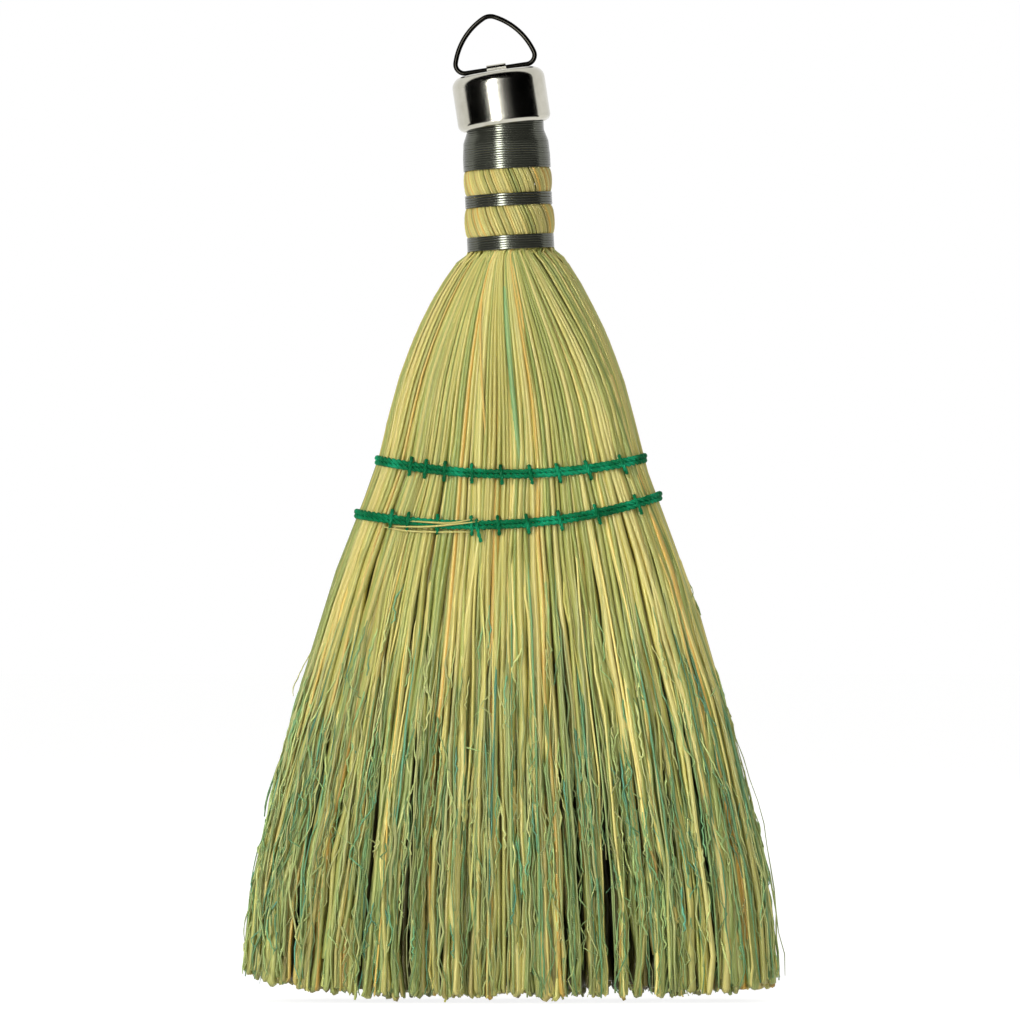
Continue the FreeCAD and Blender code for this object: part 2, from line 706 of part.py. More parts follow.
def add_cap():
    """Drawn cup with a rounded shoulder and a lip turned in, and a strap pressed up over the ring's bar."""
    body = doc.addObject("PartDesign::Body", "cap")
    body.Label = "cap"
    wall = size("cap_wall")
    height = size("cap_height")
    shoulder = size("cap_shoulder_radius")
    lip = size("cap_lip_radius")
    lip_turn = math.acos(1 - size("cap_lip_inset") / lip)

    profile = add_sketch(body, "cap_profile", "XZ_Plane")
    shoulder_centre = Vector(cap_radius - shoulder, height - shoulder, 0)
    lip_centre = Vector(cap_radius - lip, lip * math.sin(lip_turn), 0)
    turned = Vector(math.cos(-lip_turn), math.sin(-lip_turn), 0)
    lip_outer = lip_centre + turned * lip
    lip_inner = lip_centre + turned * (lip - wall)
    inner_radius = cap_radius - wall
    corners = [
        Vector(0, height, 0),
        Vector(shoulder_centre.x, height, 0),
        Vector(cap_radius, shoulder_centre.y, 0),
        Vector(cap_radius, lip_centre.y, 0),
        lip_outer,
        lip_inner,
        Vector(inner_radius, lip_centre.y, 0),
        Vector(inner_radius, shoulder_centre.y, 0),
        Vector(shoulder_centre.x, height - wall, 0),
        Vector(0, height - wall, 0),
    ]
    half_right = Vector(math.cos(math.pi / 4), math.sin(math.pi / 4), 0)
    half_lip = Vector(math.cos(-lip_turn / 2), math.sin(-lip_turn / 2), 0)
    bows = {
        1: shoulder_centre + half_right * shoulder,
        3: lip_centre + half_lip * lip,
        5: lip_centre + half_lip * (lip - wall),
        7: shoulder_centre + half_right * (shoulder - wall),
    }
    for index, start in enumerate(corners):
        end = corners[(index + 1) % len(corners)]
        if index in bows:
            profile.addGeometry(Part.Arc(start, bows[index], end), False)
        else:
            profile.addGeometry(Part.LineSegment(start, end), False)
    cup = body.newObject("PartDesign::Revolution", "cap_cup")
    cup.Profile = profile
    cup.ReferenceAxis = (profile, ["V_Axis"])
    cup.Angle = 2 * HALF_TURN

    bar_height = ring_bar_height()
    inside = size("ring_wire") / 2 + size("ring_clearance")
    outside = inside + size("strap_sheet")
    foot = height - wall
    arch = add_sketch(body, "strap_profile", "YZ_Plane")
    arch_corners = [
        Vector(-outside, foot, 0),
        Vector(-outside, bar_height, 0),
        Vector(outside, bar_height, 0),
        Vector(outside, foot, 0),
        Vector(inside, foot, 0),
        Vector(inside, bar_height, 0),
        Vector(-inside, bar_height, 0),
        Vector(-inside, foot, 0),
    ]
    arch_bows = {1: Vector(0, bar_height + outside, 0), 5: Vector(0, bar_height + inside, 0)}
    for index, start in enumerate(arch_corners):
        end = arch_corners[(index + 1) % len(arch_corners)]
        if index in arch_bows:
            arch.addGeometry(Part.Arc(start, arch_bows[index], end), False)
        else:
            arch.addGeometry(Part.LineSegment(start, end), False)
    doc.recompute()
    strap = body.newObject("PartDesign::Pad", "cap_strap")
    strap.Profile = arch
    strap.Midplane = True
    strap.setExpression("Length", "Sizes.strap_width")
    body.Placement = cap_frame
    doc.recompute()
    return body


def ring_bar_height():
    """Height above the lip of the straight bar on which the ring turns."""
    return size("cap_height") + size("ring_clearance") + size("ring_wire") / 2


def add_ring():
    """Hanging ring: a rounded triangle of wire, its ends butted under the strap."""
    apex_radius = size("ring_apex_radius")
    side_radius = size("ring_side_radius")
    corner_radius = size("ring_corner_radius")
    bar = ring_bar_height()
    apex = Vector(0, 0, bar + size("ring_height") - apex_radius)
    corner = Vector(size("ring_width") / 2 - corner_radius, 0, bar + corner_radius)
    between = corner - apex
    along = Vector(between).normalize()
    from_apex, from_corner = side_radius - apex_radius, side_radius - corner_radius
    reach = (from_apex**2 - from_corner**2 + between.Length**2) / (2 * between.Length)
    offset = math.sqrt(from_apex**2 - reach**2)
    side = apex + along * reach + Vector(along.z, 0, -along.x) * offset
    side_start = corner + (corner - side).normalize() * corner_radius
    side_end = apex + (apex - side).normalize() * apex_radius
    bar_end = Vector(corner.x, 0, bar)
    corner_bow = corner + ((bar_end - corner) + (side_start - corner)).normalize() * corner_radius
    side_bow = side + ((side_start - side) + (side_end - side)).normalize() * side_radius
    top = Vector(0, 0, bar + size("ring_height"))
    butt = Vector(size("ring_joint_gap") / 2, 0, bar)

    right = [(butt, None, bar_end), (bar_end, corner_bow, side_start), (side_start, side_bow, side_end)]
    edges = [path_edge(*leg) for leg in right]
    edges.append(Part.Arc(side_end, top, flipped(side_end)).toShape())
    for start, bow, end in reversed(right):
        edges.append(path_edge(flipped(end), flipped(bow), flipped(start)))
    return add_shape("hanging_ring", tube(edges, size("ring_wire")), cap_frame)


def flipped(point):
    """The same point on the other side of the middle."""
    if point is None:
        return None
    return Vector(-point.x, point.y, point.z)


def path_edge(start, bow, end):
    """Straight edge, or an arc through bow."""
    if bow is None:
        return Part.LineSegment(start, end).toShape()
    return Part.Arc(start, bow, end).toShape()


def check_and_export(pieces):
    """Stop at anything that failed, then write one file for each sub-part."""
    for item in doc.Objects:
        if "Invalid" in item.State or "Error" in item.State:
            raise RuntimeError(f"{item.Name} failed: {item.State}")
    for piece in pieces:
        if piece.Shape.isNull() or not piece.Shape.isValid() or not piece.Shape.Solids:
            raise RuntimeError(f"{piece.Label} has no valid solid")
    os.makedirs("parts", exist_ok=True)
    for piece in pieces:
        piece.Shape.exportStep(f"parts/{piece.Label}.step")
    print(f"{len(pieces)} sub-parts written")


pieces = [add_cap(), add_ring(), add_stalk_core()]
pieces += add_windings()
pieces += add_tufts()
pieces += add_rows()
doc.recompute()
check_and_export(pieces)
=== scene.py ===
# %% [markdown]
# # Dressing a corn whisk broom
# The broom comes as a packed set of plain solids, one for each piece, all in one frame: +Z up, the trimmed
# ends on the floor, the flat front facing -Y. Loading it first means that every new piece can be placed by
# the same sizes that the solids have, with no fitting by eye.

# %% Load the frame
import math

import bmesh
import bpy
import numpy as np
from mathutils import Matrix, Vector


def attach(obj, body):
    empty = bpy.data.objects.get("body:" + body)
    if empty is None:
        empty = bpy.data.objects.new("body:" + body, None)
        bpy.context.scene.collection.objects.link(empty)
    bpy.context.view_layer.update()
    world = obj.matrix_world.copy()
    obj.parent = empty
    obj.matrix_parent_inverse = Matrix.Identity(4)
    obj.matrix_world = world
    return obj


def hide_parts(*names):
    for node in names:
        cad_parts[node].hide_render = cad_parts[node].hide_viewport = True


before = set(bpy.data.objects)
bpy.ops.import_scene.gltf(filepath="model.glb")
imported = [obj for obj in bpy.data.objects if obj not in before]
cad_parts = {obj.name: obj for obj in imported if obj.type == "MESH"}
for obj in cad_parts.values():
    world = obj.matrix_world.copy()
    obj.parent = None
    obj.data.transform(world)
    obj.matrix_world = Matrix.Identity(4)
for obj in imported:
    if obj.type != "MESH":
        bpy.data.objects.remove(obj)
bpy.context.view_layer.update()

MM = 0.001
print("pieces in the frame:", len(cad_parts))

# %% [markdown]
# ## Small helpers for materials
# Colours are picked as the hex values that a screen shows, but shaders add up light, so they need linear
# values. One function does that. Another adds a shader node with its settings and what goes into it, and the
# rest build on it, which keeps each recipe below down to a few readable lines.


# %% Colour and node helpers
def linear(hex_colour):
    channels = [int(hex_colour[i : i + 2], 16) / 255 for i in (1, 3, 5)]
    return [c / 12.92 if c <= 0.04045 else ((c + 0.055) / 1.055) ** 2.4 for c in channels] + [1]


def plug(tree, node, **links):
    """Give a node's sockets, by name or by number as in _0, a value or the output of another node."""
    for socket, value in links.items():
        target = node.inputs[int(socket[1:]) if socket[1:].isdigit() else socket.replace("_", " ")]
        if isinstance(value, bpy.types.NodeSocket):
            tree.links.new(value, target)
        else:
            target.default_value = value


def add_node(tree, kind, settings=None, **links):
    """Add a node with its properties set and its sockets plugged."""
    node = tree.nodes.new(kind)
    for key, value in (settings or {}).items():
        setattr(node, key, value)
    plug(tree, node, **links)
    return node


def math_node(tree, operation, *values):
    """Output of a math node with these inputs."""
    links = {f"_{number}": value for number, value in enumerate(values)}
    return add_node(tree, "ShaderNodeMath", {"operation": operation}, **links).outputs["Value"]


def ranged(tree, value, low, high, to_low=0, to_high=1):
    """Output that runs from to_low to to_high while the value runs from low to high."""
    links = {"From_Min": low, "From_Max": high, "To_Min": to_low, "To_Max": to_high}
    return add_node(tree, "ShaderNodeMapRange", Value=value, **links).outputs["Result"]


def new_material(name):
    material = bpy.data.materials.new(name)
    material.use_nodes = True
    tree = material.node_tree
    return material, tree, tree.nodes["Principled BSDF"]


def set_ramp(node, stops):
    """Fill a colour ramp from (place, hex colour) pairs."""
    ramp = node.color_ramp
    while len(ramp.elements) < len(stops):
        ramp.elements.new(1)
    for element, (place, colour) in zip(ramp.elements, stops):
        element.position = place
        element.color = linear(colour)


print("half bright on a screen is", round(linear("#808080")[0], 3), "of full light")

# %% [markdown]
# ## The outline that all the straw follows
# A whisk broom is one bundle of straw: round where the wire binds it, flat and wide where the twine sews it,
# and widest at the trimmed end. The straw could be scattered by eye, but then it would not fill its solids.
# Instead one table gives half the width and half the depth at each height, and the partings that the sewing
# leaves between the tufts are kept as angles round that oval. At the neck the straw of the front lies close
# together, so it fans out from there almost straight.

# %% Outline of the bundle, in millimetres
NECK = 231.3
GIRTH = np.array([
    (0, 84, 18.5), (12.6, 83.4, 18.05), (37.3, 80.6, 17.2), (62, 74.7, 16.3), (86.8, 68.5, 15.4),
    (111.2, 60.7, 14.5), (136, 53.1, 13.6), (142.7, 49.9, 13), (147.1, 48.3, 13), (153, 46.2, 13),
    (158, 44.5, 12.5), (162.5, 42.6, 12.5), (167.1, 40.7, 12.5), (179.3, 38.3, 13.3), (191.6, 35, 13.9),
    (203.8, 30.5, 14), (210, 27.7, 13.9), (216.2, 24.5, 13.6), (222.4, 21, 13.3), (228.5, 16.8, 12.9),
    (NECK, 12.75, 12.75),
])
UPPER_SHARES = np.array([-0.742, -0.627, -0.483, -0.284, -0.07, 0.141, 0.343, 0.565, 0.83])
LOWER_SHARES = np.array([-0.771, -0.66, -0.468, -0.25, -0.08, 0.105, 0.315, 0.562, 0.845])
FLOOR_SHARES = np.array([-0.78, -0.63, -0.44, -0.23, -0.06, 0.12, 0.32, 0.56, 0.81])
# the stretches that the rows hold, from foot to head
LOWER_FOOT, LOWER_HEAD, UPPER_FOOT, UPPER_HEAD = 142, 153, 158, 167
# how far the partings draw together at the neck, and how far the twist of the handle carries them left
NECK_DRAW, NECK_SHIFT = 0.65, 0.15
# under the lowest wire band they are even again
HANDLE_START = NECK + 5


def ease(share):
    share = np.clip(share, 0, 1)
    return share * share * (3 - 2 * share)


def parting_table():
    """Heights, with the angle of each parting there: even in the handle, uneven where the needle went."""
    even = np.radians(10 + 20 * np.arange(9))
    neck = np.arccos(NECK_SHIFT - NECK_DRAW * UPPER_SHARES)
    upper, lower, floor = (np.arccos(-shares) for shares in (UPPER_SHARES, LOWER_SHARES, FLOOR_SHARES))
    stops = [(0, floor)]
    stops += [(z, lower + (floor - lower) * ease(1 - z / LOWER_FOOT)) for z in (30, 60, 90, 120)]
    stops += [(LOWER_FOOT, lower), (LOWER_HEAD, lower), (UPPER_FOOT, upper), (UPPER_HEAD, upper)]
    for z in (180, 193, 206, 217, 225):
        rise = (z - UPPER_HEAD) / (NECK - UPPER_HEAD)
        stops.append((z, upper + (neck - upper) * rise**2))
    stops += [(NECK, neck), (HANDLE_START, even)]
    return np.array([z for z, _ in stops]), np.array([angles for _, angles in stops])


PARTING_HEIGHTS, PARTING_ANGLES = parting_table()
print("outline from", GIRTH[0], "to", GIRTH[-1], "with", len(PARTING_HEIGHTS), "heights of partings")


# %% Points on the bundle
END_ROUND = 0.85
HANDLE_LEAN = math.radians(2.7)
LEAN_FADE = 15
HALF_SWEEP = 84
LEFT_TRIM, RIGHT_TRIM = 7.0, 4.5
LEVEL_SHARE, RISING_SHARE = 0.45, 0.55


def parting(index, z):
    return np.interp(z, PARTING_HEIGHTS, PARTING_ANGLES[:, index])


def girth(z):
    return np.interp(z, GIRTH[:, 0], GIRTH[:, 1]), np.interp(z, GIRTH[:, 0], GIRTH[:, 2])


def rim(turn, half_width, half_depth):
    """Point of the oval. The turn starts at the left tip and passes the front first."""
    end = END_ROUND * half_depth
    flat = ((half_width - end) ** 2 + half_depth**2 - end**2) / (2 * (half_depth - end))
    joint = (half_width - end) * flat / (flat - end)
    x = -half_width * np.cos(turn)
    on_flat = half_depth - flat + np.sqrt(np.maximum(0, flat**2 - x**2))
    on_end = np.sqrt(np.maximum(0, end**2 - (np.abs(x) - half_width + end) ** 2))
    depth = np.where(np.abs(x) <= joint, on_flat, on_end)
    return np.stack([x, -np.sign(np.sin(turn)) * depth], -1)


def rim_frame(turn, z):
    """Point, outward direction and millimetres for each radian of turn, on the outline at a height."""
    half_width, half_depth = girth(z)
    step = 0.03
    along = rim(turn + step, half_width, half_depth) - rim(turn - step, half_width, half_depth)
    length = np.linalg.norm(along, axis=-1)
    outward = np.stack([along[..., 1], -along[..., 0]], -1) / length[..., None]
    return rim(turn, half_width, half_depth), outward, length / (2 * step)


def on_broom(turn, inset, z):
    """A point of the straw, a depth of inset below the surface, in millimetres."""
    point, outward, _ = rim_frame(turn, z)
    flat = point - outward * np.asarray(inset)[..., None]
    lean = HANDLE_LEAN * np.clip(1 - (NECK - z) / LEAN_FADE, 0, 1)
    x = flat[..., 0] - np.maximum(0, z - NECK) * math.sin(HANDLE_LEAN)
    return np.stack([x, flat[..., 1], z + flat[..., 0] * np.sin(lean)], -1)


def trim_height(x):
    """How far the cut ends rise off the floor, which is only towards the corners."""
    share = np.maximum(0, (np.abs(x) / HALF_SWEEP - LEVEL_SHARE) / RISING_SHARE)
    return np.where(x < 0, LEFT_TRIM, RIGHT_TRIM) * share**2


print("left and right corners rise by", trim_height(np.array([-HALF_SWEEP, HALF_SWEEP])))

# %% [markdown]
# ## How a bundle of strands becomes a mesh
# Straw, wire and twine are all long round things. A spline with a bevel gives each one a round skin along
# any line and lets it thicken and thin, which extruding by hand would not do so evenly. The splines of one
# piece share one curve object, its skin is taken as a mesh, and the open ends are filled.


# %% Strands to mesh
def new_curve(name):
    curve = bpy.data.curves.new(name, "CURVE")
    curve.dimensions = "3D"
    return curve


def skin_of(curve):
    """Mesh of a curve, which is used up."""
    holder = bpy.data.objects.new(curve.name, curve)
    mesh = bpy.data.meshes.new_from_object(holder)
    bpy.data.objects.remove(holder)
    bpy.data.curves.remove(curve)
    return mesh


def strand_mesh(name, lines, radii, resolution, **marks):
    """Mesh of round strands. lines is (strands, points, 3) and radii (strands, points), in millimetres."""
    curve = new_curve(name)
    curve.bevel_depth = MM
    curve.bevel_resolution = resolution
    for line, radius in zip(lines, radii):
        spline = curve.splines.new("POLY")
        spline.points.add(len(line) - 1)
        spline.points.foreach_set("co", np.c_[line * MM, np.ones(len(line))].ravel())
        spline.points.foreach_set("radius", radius)
        spline.use_smooth = True
    mesh = skin_of(curve)
    each = len(mesh.vertices) // len(lines)
    for mark, values in marks.items():
        attribute = mesh.attributes.new(mark, "FLOAT", "POINT")
        attribute.data.foreach_set("value", np.repeat(np.asarray(values, np.float32), each))
    return mesh


# %% Smooth lines, and strands joined to a piece
def smooth_line(points, resolution):
    """Points of the smooth spline that the given points pull along."""
    curve = new_curve("line")
    spline = curve.splines.new("NURBS")
    spline.points.add(len(points) - 1)
    spline.points.foreach_set("co", np.c_[np.asarray(points), np.ones(len(points))].ravel())
    spline.order_u = 3
    spline.use_endpoint_u = True
    spline.resolution_u = resolution
    mesh = skin_of(curve)
    line = np.array([vertex.co for vertex in mesh.vertices])
    bpy.data.meshes.remove(mesh)
    return line


def mesh_from(name, shape):
    mesh = bpy.data.meshes.new(name)
    shape.to_mesh(mesh)
    shape.free()
    return mesh


def add_object(name, data):
    item = bpy.data.objects.new(name, data)
    bpy.context.scene.collection.objects.link(item)
    return item


def close_and_join(name, meshes, materials):
    """One piece from several strand meshes, each with its material or the last one, and their ends closed."""
    shape = bmesh.new()
    for number, mesh in enumerate(meshes):
        old = set(shape.faces)
        shape.from_mesh(mesh)
        for face in shape.faces:
            if face not in old:
                face.material_index = min(number, len(materials) - 1)
        bpy.data.meshes.remove(mesh)
    open_edges = [edge for edge in shape.edges if edge.is_boundary]
    caps = bmesh.ops.edgeloop_fill(shape, edges=open_edges)["faces"]
    for cap in caps:
        side = next(f for f in cap.edges[0].link_faces if f is not cap)
        cap.material_index = side.material_index
    bmesh.ops.recalc_face_normals(shape, faces=shape.faces)
    mesh = mesh_from(name, shape)
    for material in materials:
        mesh.materials.append(material)
    return add_object(name, mesh)


# %% [markdown]
# ## Broom corn
# The straw is broom corn, dried in the sun and not dyed. Each stem has a waxy skin with fine lengthwise
# grain, and no two dry alike: most are pale yellow, many stay green, a few turn orange, teal or brown. So
# each strand carries one number, its tint, which picks its colour from a ramp, and a second, its tone and
# shade, which makes it lighter or darker: partly its own tone, and partly painted shade, since stems deep in
# the bundle are made darker and those at the surface lighter. The grain follows the strand's own map, 1
# across and 1 along. Towards the trimmed end, where the seed head was, the corn stays greener.


# %% Colour of a strand
def drifting_colour(tree, tint, own_map, stops):
    """A strand's own colour, which drifts along it over about 40 mm."""
    strand = math_node(tree, "MULTIPLY", tint, 90)
    along = add_node(tree, "ShaderNodeMapping", Vector=own_map, Scale=(0.4, 6, 1))
    drift = add_node(
        tree, "ShaderNodeTexNoise", {"noise_dimensions": "4D"},
        Vector=along.outputs["Vector"], W=strand, Scale=1, Detail=2,
    )
    shift = ranged(tree, drift.outputs["Fac"], 0, 1, -0.3, 0.3)
    ramp = add_node(tree, "ShaderNodeValToRGB", Fac=math_node(tree, "ADD", tint, shift))
    set_ramp(ramp, stops)
    return ramp.outputs["Color"]


def greened(tree, colour, tint, place, height):
    """The colour made greener, in blushes about 25 mm long and 4 mm wide and towards the trimmed end."""
    patch_map = add_node(tree, "ShaderNodeMapping", Vector=place, Scale=(250, 250, 40))
    patch = add_node(tree, "ShaderNodeTexNoise", Vector=patch_map.outputs["Vector"], Scale=1, Detail=2)
    blush = ranged(tree, patch.outputs["Fac"], 0.5, 0.75, 0, 0.32)
    head = ranged(tree, height, 0.13, 0, 0, 0.5)
    young = ranged(tree, tint, 0.75, 0)
    green = math_node(tree, "MULTIPLY_ADD", head, young, blush)
    corn = linear("#ACBC75")
    return add_node(tree, "ShaderNodeMix", {"data_type": "RGBA"}, _0=green, _6=colour, _7=corn).outputs[2]


def eased_shade(tree, shade, height):
    """A strand's shade, brought halfway to 1 in the bound straw, which lies close and is evenly lit."""
    spread_out = ranged(tree, height, 0.21, 0.1, 0.5, 1)
    away = math_node(tree, "SUBTRACT", shade, 1)
    return math_node(tree, "MULTIPLY_ADD", away, spread_out, 1)


# %% Broom corn materials
def broom_corn(name, stops, roughness):
    """Waxy dried stem: low shine, grain along the length, and a greener blush in patches."""
    material, tree, shader = new_material(name)
    tint = add_node(tree, "ShaderNodeAttribute", {"attribute_name": "straw_tint"}).outputs["Fac"]
    # how light or dark each strand is drawn: partly its own tone, partly painted shade deep in the bundle
    shade = add_node(tree, "ShaderNodeAttribute", {"attribute_name": "straw_shade"}).outputs["Fac"]
    own_map = add_node(tree, "ShaderNodeUVMap", {"uv_map": "UVMap"}).outputs["UV"]
    place = add_node(tree, "ShaderNodeTexCoord").outputs["Object"]
    height = add_node(tree, "ShaderNodeSeparateXYZ", Vector=place).outputs["Z"]
    own = drifting_colour(tree, tint, own_map, stops)
    greener = greened(tree, own, tint, place, height)
    spread = add_node(tree, "ShaderNodeMapping", Vector=own_map, Scale=(1.7, 7, 1))
    grain = add_node(
        tree, "ShaderNodeTexNoise", {"noise_dimensions": "4D"},
        Vector=spread.outputs["Vector"], W=tint, Scale=3, Detail=3,
    ).outputs["Fac"]
    streak = ranged(tree, grain, 0.25, 0.75, 0.72, 1.18)
    level = math_node(tree, "MULTIPLY", streak, eased_shade(tree, shade, height))
    colour = add_node(tree, "ShaderNodeVectorMath", {"operation": "SCALE"}, _0=greener, Scale=level)
    bump = add_node(tree, "ShaderNodeBump", Strength=0.35, Distance=0.0002, Height=grain)
    plug(tree, shader, Base_Color=colour.outputs["Vector"], Normal=bump.outputs["Normal"])
    plug(tree, shader, Roughness=roughness, IOR=1.45)
    return material


STEM_STOPS = [
    (0.0, "#88964E"), (0.14, "#A3A657"), (0.34, "#B9B261"), (0.56, "#C9BE6B"), (0.76, "#D8CC7D"),
    (0.88, "#D3C473"), (0.95, "#D5B863"), (1.0, "#D6AC50"),
]
FIBRE_STOPS = [
    (0.0, "#CECB86"), (0.3, "#B4BD75"), (0.55, "#96AD6A"), (0.8, "#79A067"), (0.97, "#659C6E"),
    (1.0, "#64A98F"),
]
stem_finish = broom_corn("broom_corn_stem", STEM_STOPS, 0.42)
fibre_finish = broom_corn("broom_corn_fibre", FIBRE_STOPS, 0.55)
print("straw finishes:", stem_finish.name, fibre_finish.name)

# %% [markdown]
# ## Straw round the handle
# Each tuft is whole from the cap to the floor, and three sorts of strand make it: stems in the handle, long
# stems that fan out from the neck, and fine side shoots. In the handle the stems lie side by side in one
# layer, twist as they rise, and swell where no wire holds them, which one sine for each stretch gives. Every
# draw comes from a seeded generator, so the broom is the same each time.


# %% Stems round the handle, in millimetres
STRAW_TOP = 51.0
TWIST = math.radians(80)
HANDLE_RADIUS, CAP_END_RADIUS = 12.75, 11.2
SWELLS = [(4.7, 13.5, 1.2), (17.7, 25.0, 0.95)]
HANDLE_HEIGHTS = np.array([
    0.4, 3.2, 4.8, 5.3, 6.2, 7.6, 9.1, 10.6, 12, 12.9, 13.4, 15.6, 17.8, 18.3, 19.2, 20.3, 21.4, 22.5, 23.6,
    24.4, 24.9, 29, 33.6, 36.9, 44,
])
# half the turn that the stems of one tuft take up, with a little overlap
STEM_FILL = 0.19


def handle_surface(height):
    """Radius of the straw round the handle: it swells between the wire bands and tapers into the cap."""
    radius = np.interp(height, [29, 33.6, 36.9], [HANDLE_RADIUS, 12.4, CAP_END_RADIUS])
    for bottom, top, swell in SWELLS:
        share = np.clip((height - bottom) / (top - bottom), 0, 1)
        radius = radius + swell * np.sin(math.pi * share) ** 0.35
    return radius


def lean_over(x, y, height):
    """From the handle's own frame to the broom's, because the handle leans."""
    return np.stack([
        x * math.cos(HANDLE_LEAN) - height * math.sin(HANDLE_LEAN),
        y,
        NECK + x * math.sin(HANDLE_LEAN) + height * math.cos(HANDLE_LEAN),
    ], -1)


def handle_stems(bounds, count, rng):
    """Stems that swell between the wire bands and twist as they rise."""
    share = (np.arange(count) + 0.5) / count + rng.uniform(-0.06, 0.06, count)
    low, high = bounds(np.array(HANDLE_START))
    start = low + (high - low) * share
    height = np.broadcast_to(HANDLE_HEIGHTS, (count, len(HANDLE_HEIGHTS)))
    turn = start[:, None] - TWIST * height / STRAW_TOP
    surface = handle_surface(height)
    radius = STEM_FILL / count * surface * rng.uniform(0.92, 1.18, count)[:, None]
    reach = surface - radius + rng.uniform(-0.25, 0.1, count)[:, None]
    return lean_over(-reach * np.cos(turn), -reach * np.sin(turn), height), radius


print("straw swells from", HANDLE_RADIUS, "to", round(float(handle_surface(9.1)), 2), "mm between two bands")

# %% [markdown]
# ## How the straw gathers
# Twine draws each tuft in where it is sewn, so its surface dips at the partings. Lower down nothing holds
# the straw, and it gathers into locks with furrows between them, as the solids have. The place of a strand
# is a share of the way across its tuft, so that the same functions serve wide tufts and narrow ones.

# %% Places across a tuft
PARTING_GAP = np.array([
    (0, -0.5), (110, -0.5), (127, -0.1), (139, 0.15), (147, 0.3), (163, 0.3), (168, 0.15), (177, -0.05),
    (195, -0.25), (NECK, -0.15),
])
UPPER_ROW, LOWER_ROW = 162.5, 147.1
# how deep the twine draws the partings in, and how far from each row that reaches
DRAWN_IN, UPPER_REACH, LOWER_REACH = 1.3, 16, 22
LOCK_FURROW = 2.2


def across_tuft(share, z, bounds):
    """Angle of a strand that lies a share of the way across its tuft."""
    low, high = bounds(z)
    _, _, speed_low = rim_frame(low, z)
    _, _, speed_high = rim_frame(high, z)
    gap = np.interp(z, PARTING_GAP[:, 0], PARTING_GAP[:, 1])
    low = low + gap / speed_low
    high = high - gap / speed_high
    return low + (high - low) * share


def tuft_roundness(share, z):
    """How far the surface dips at the partings, most where the twine draws the tuft in."""
    upper, lower = (z - UPPER_ROW) / UPPER_REACH, (z - LOWER_ROW) / LOWER_REACH
    drawn_in = np.exp(-(upper**2)) + np.exp(-(lower**2))
    return DRAWN_IN * np.abs(2 * share - 1) ** 3 * np.minimum(1, drawn_in)


def make_locks(edges, crowns, each, rng):
    """Locks that the strands of a tuft gather into low down, so many to each lock of its solid."""
    count = each * len(crowns)
    step = np.repeat(np.diff(edges) / each, each)
    starts = np.repeat(edges[:-1], each) + step * np.tile(np.arange(each), len(crowns))
    return {
        "edges": edges,
        "crowns": crowns,
        "place": starts + step * rng.uniform(0.3, 0.7, count),
        "depth": rng.uniform(0, 1.6, count),
        "end": rng.uniform(0, 2.6, count),
        "sway": rng.normal(0, 0.9, count),
        "phase": rng.uniform(0, 2 * math.pi, count),
        "hold": rng.uniform(0.55, 0.9, count),
    }


def lock_depth(share, z, locks):
    """How far the surface lies below the outline: nothing at the partings, a furrow between two locks."""
    edges = locks["edges"]
    rims = np.r_[0, np.ones(len(edges) - 2), 0]
    number = np.clip(np.searchsorted(edges, share) - 1, 0, len(edges) - 2)
    along = np.clip((share - edges[number]) / np.diff(edges)[number], 0, 1)
    from_left = rims[number] * (1 - along) * (1 - 2 * along)
    from_right = rims[number + 1] * along * (2 * along - 1)
    crown = 4 * locks["crowns"][number] * along * (1 - along)
    deepening = np.sin(math.pi / 2 * np.clip(1 - z / LOWER_HEAD, 0, 1))
    return LOCK_FURROW * deepening * (from_left + crown + from_right)


def trimmed_end(share, bounds, rng, cut_short, longest):
    """Height of each strand's cut end. Some strands stop short of the trimmed line."""
    count = len(share)
    floor = np.zeros(count)
    x = rim(across_tuft(share, floor, bounds), *girth(floor))[:, 0]
    short = np.where(rng.random(count) < cut_short, rng.uniform(2, longest, count), 0)
    return trim_height(x) + short + rng.uniform(0.2, 2, count)


print("furrows are up to", LOCK_FURROW, "mm deep")

# %% [markdown]
# ## Stems and shoots
# A dry stem is never straight: it sways, strays over its neighbours, and is thinner where it is bound. The
# stems near the surface are what the eye sees, so most lie there, and the rest fill the inside, so that the
# broom is solid from below. Side shoots start part way down; they are greener, thinner and curlier, and
# grow in patches. All strands of one sort are worked out together, one row of an array for each.

# %% Long stems
STEM_DROP = np.array([
    0, 4, 8, 14, 21, 28, 36, 45, 57, 74, 96, 120, 143, 166, 188, 208, 224, 233.6, 235,
]) / 235
ROUGHEN = np.array([(0, 1), (60, 1), (120, 0.85), (142, 0.4), (162, 0.12), (NECK, 0.03)])
THICKEN = np.array([(0, 1.27), (60, 1.25), (150, 1.18), (200, 0.94), (NECK, 0.6)])
GATHER_TOP, GATHER_LENGTH = 130, 115
STRAY_LENGTH = 200
EMERGE_LENGTH = 42
FILLING_DEPTH, FILLING_RISE = 3, 2.5
# how many stems are cut short, and by how much at most
STEM_CUTS = (0.12, 30)
# most stems stray a little across their tuft, and some stray far
STRAY_SPREAD, STRAY_ODDS, STRAY_FAR = 0.05, 0.17, 0.5
WAVE_LENGTHS, WAVE_SPREAD, LOCK_WAVE, JITTER = (6, 17), 0.62, 22, 0.4
THICK_SPREAD, THINNEST, THICKEST, UNEVEN, TIP_TAPER = 0.3, 0.24, 1.1, 0.16, 0.72
DEEPEST_SHARE = 0.93


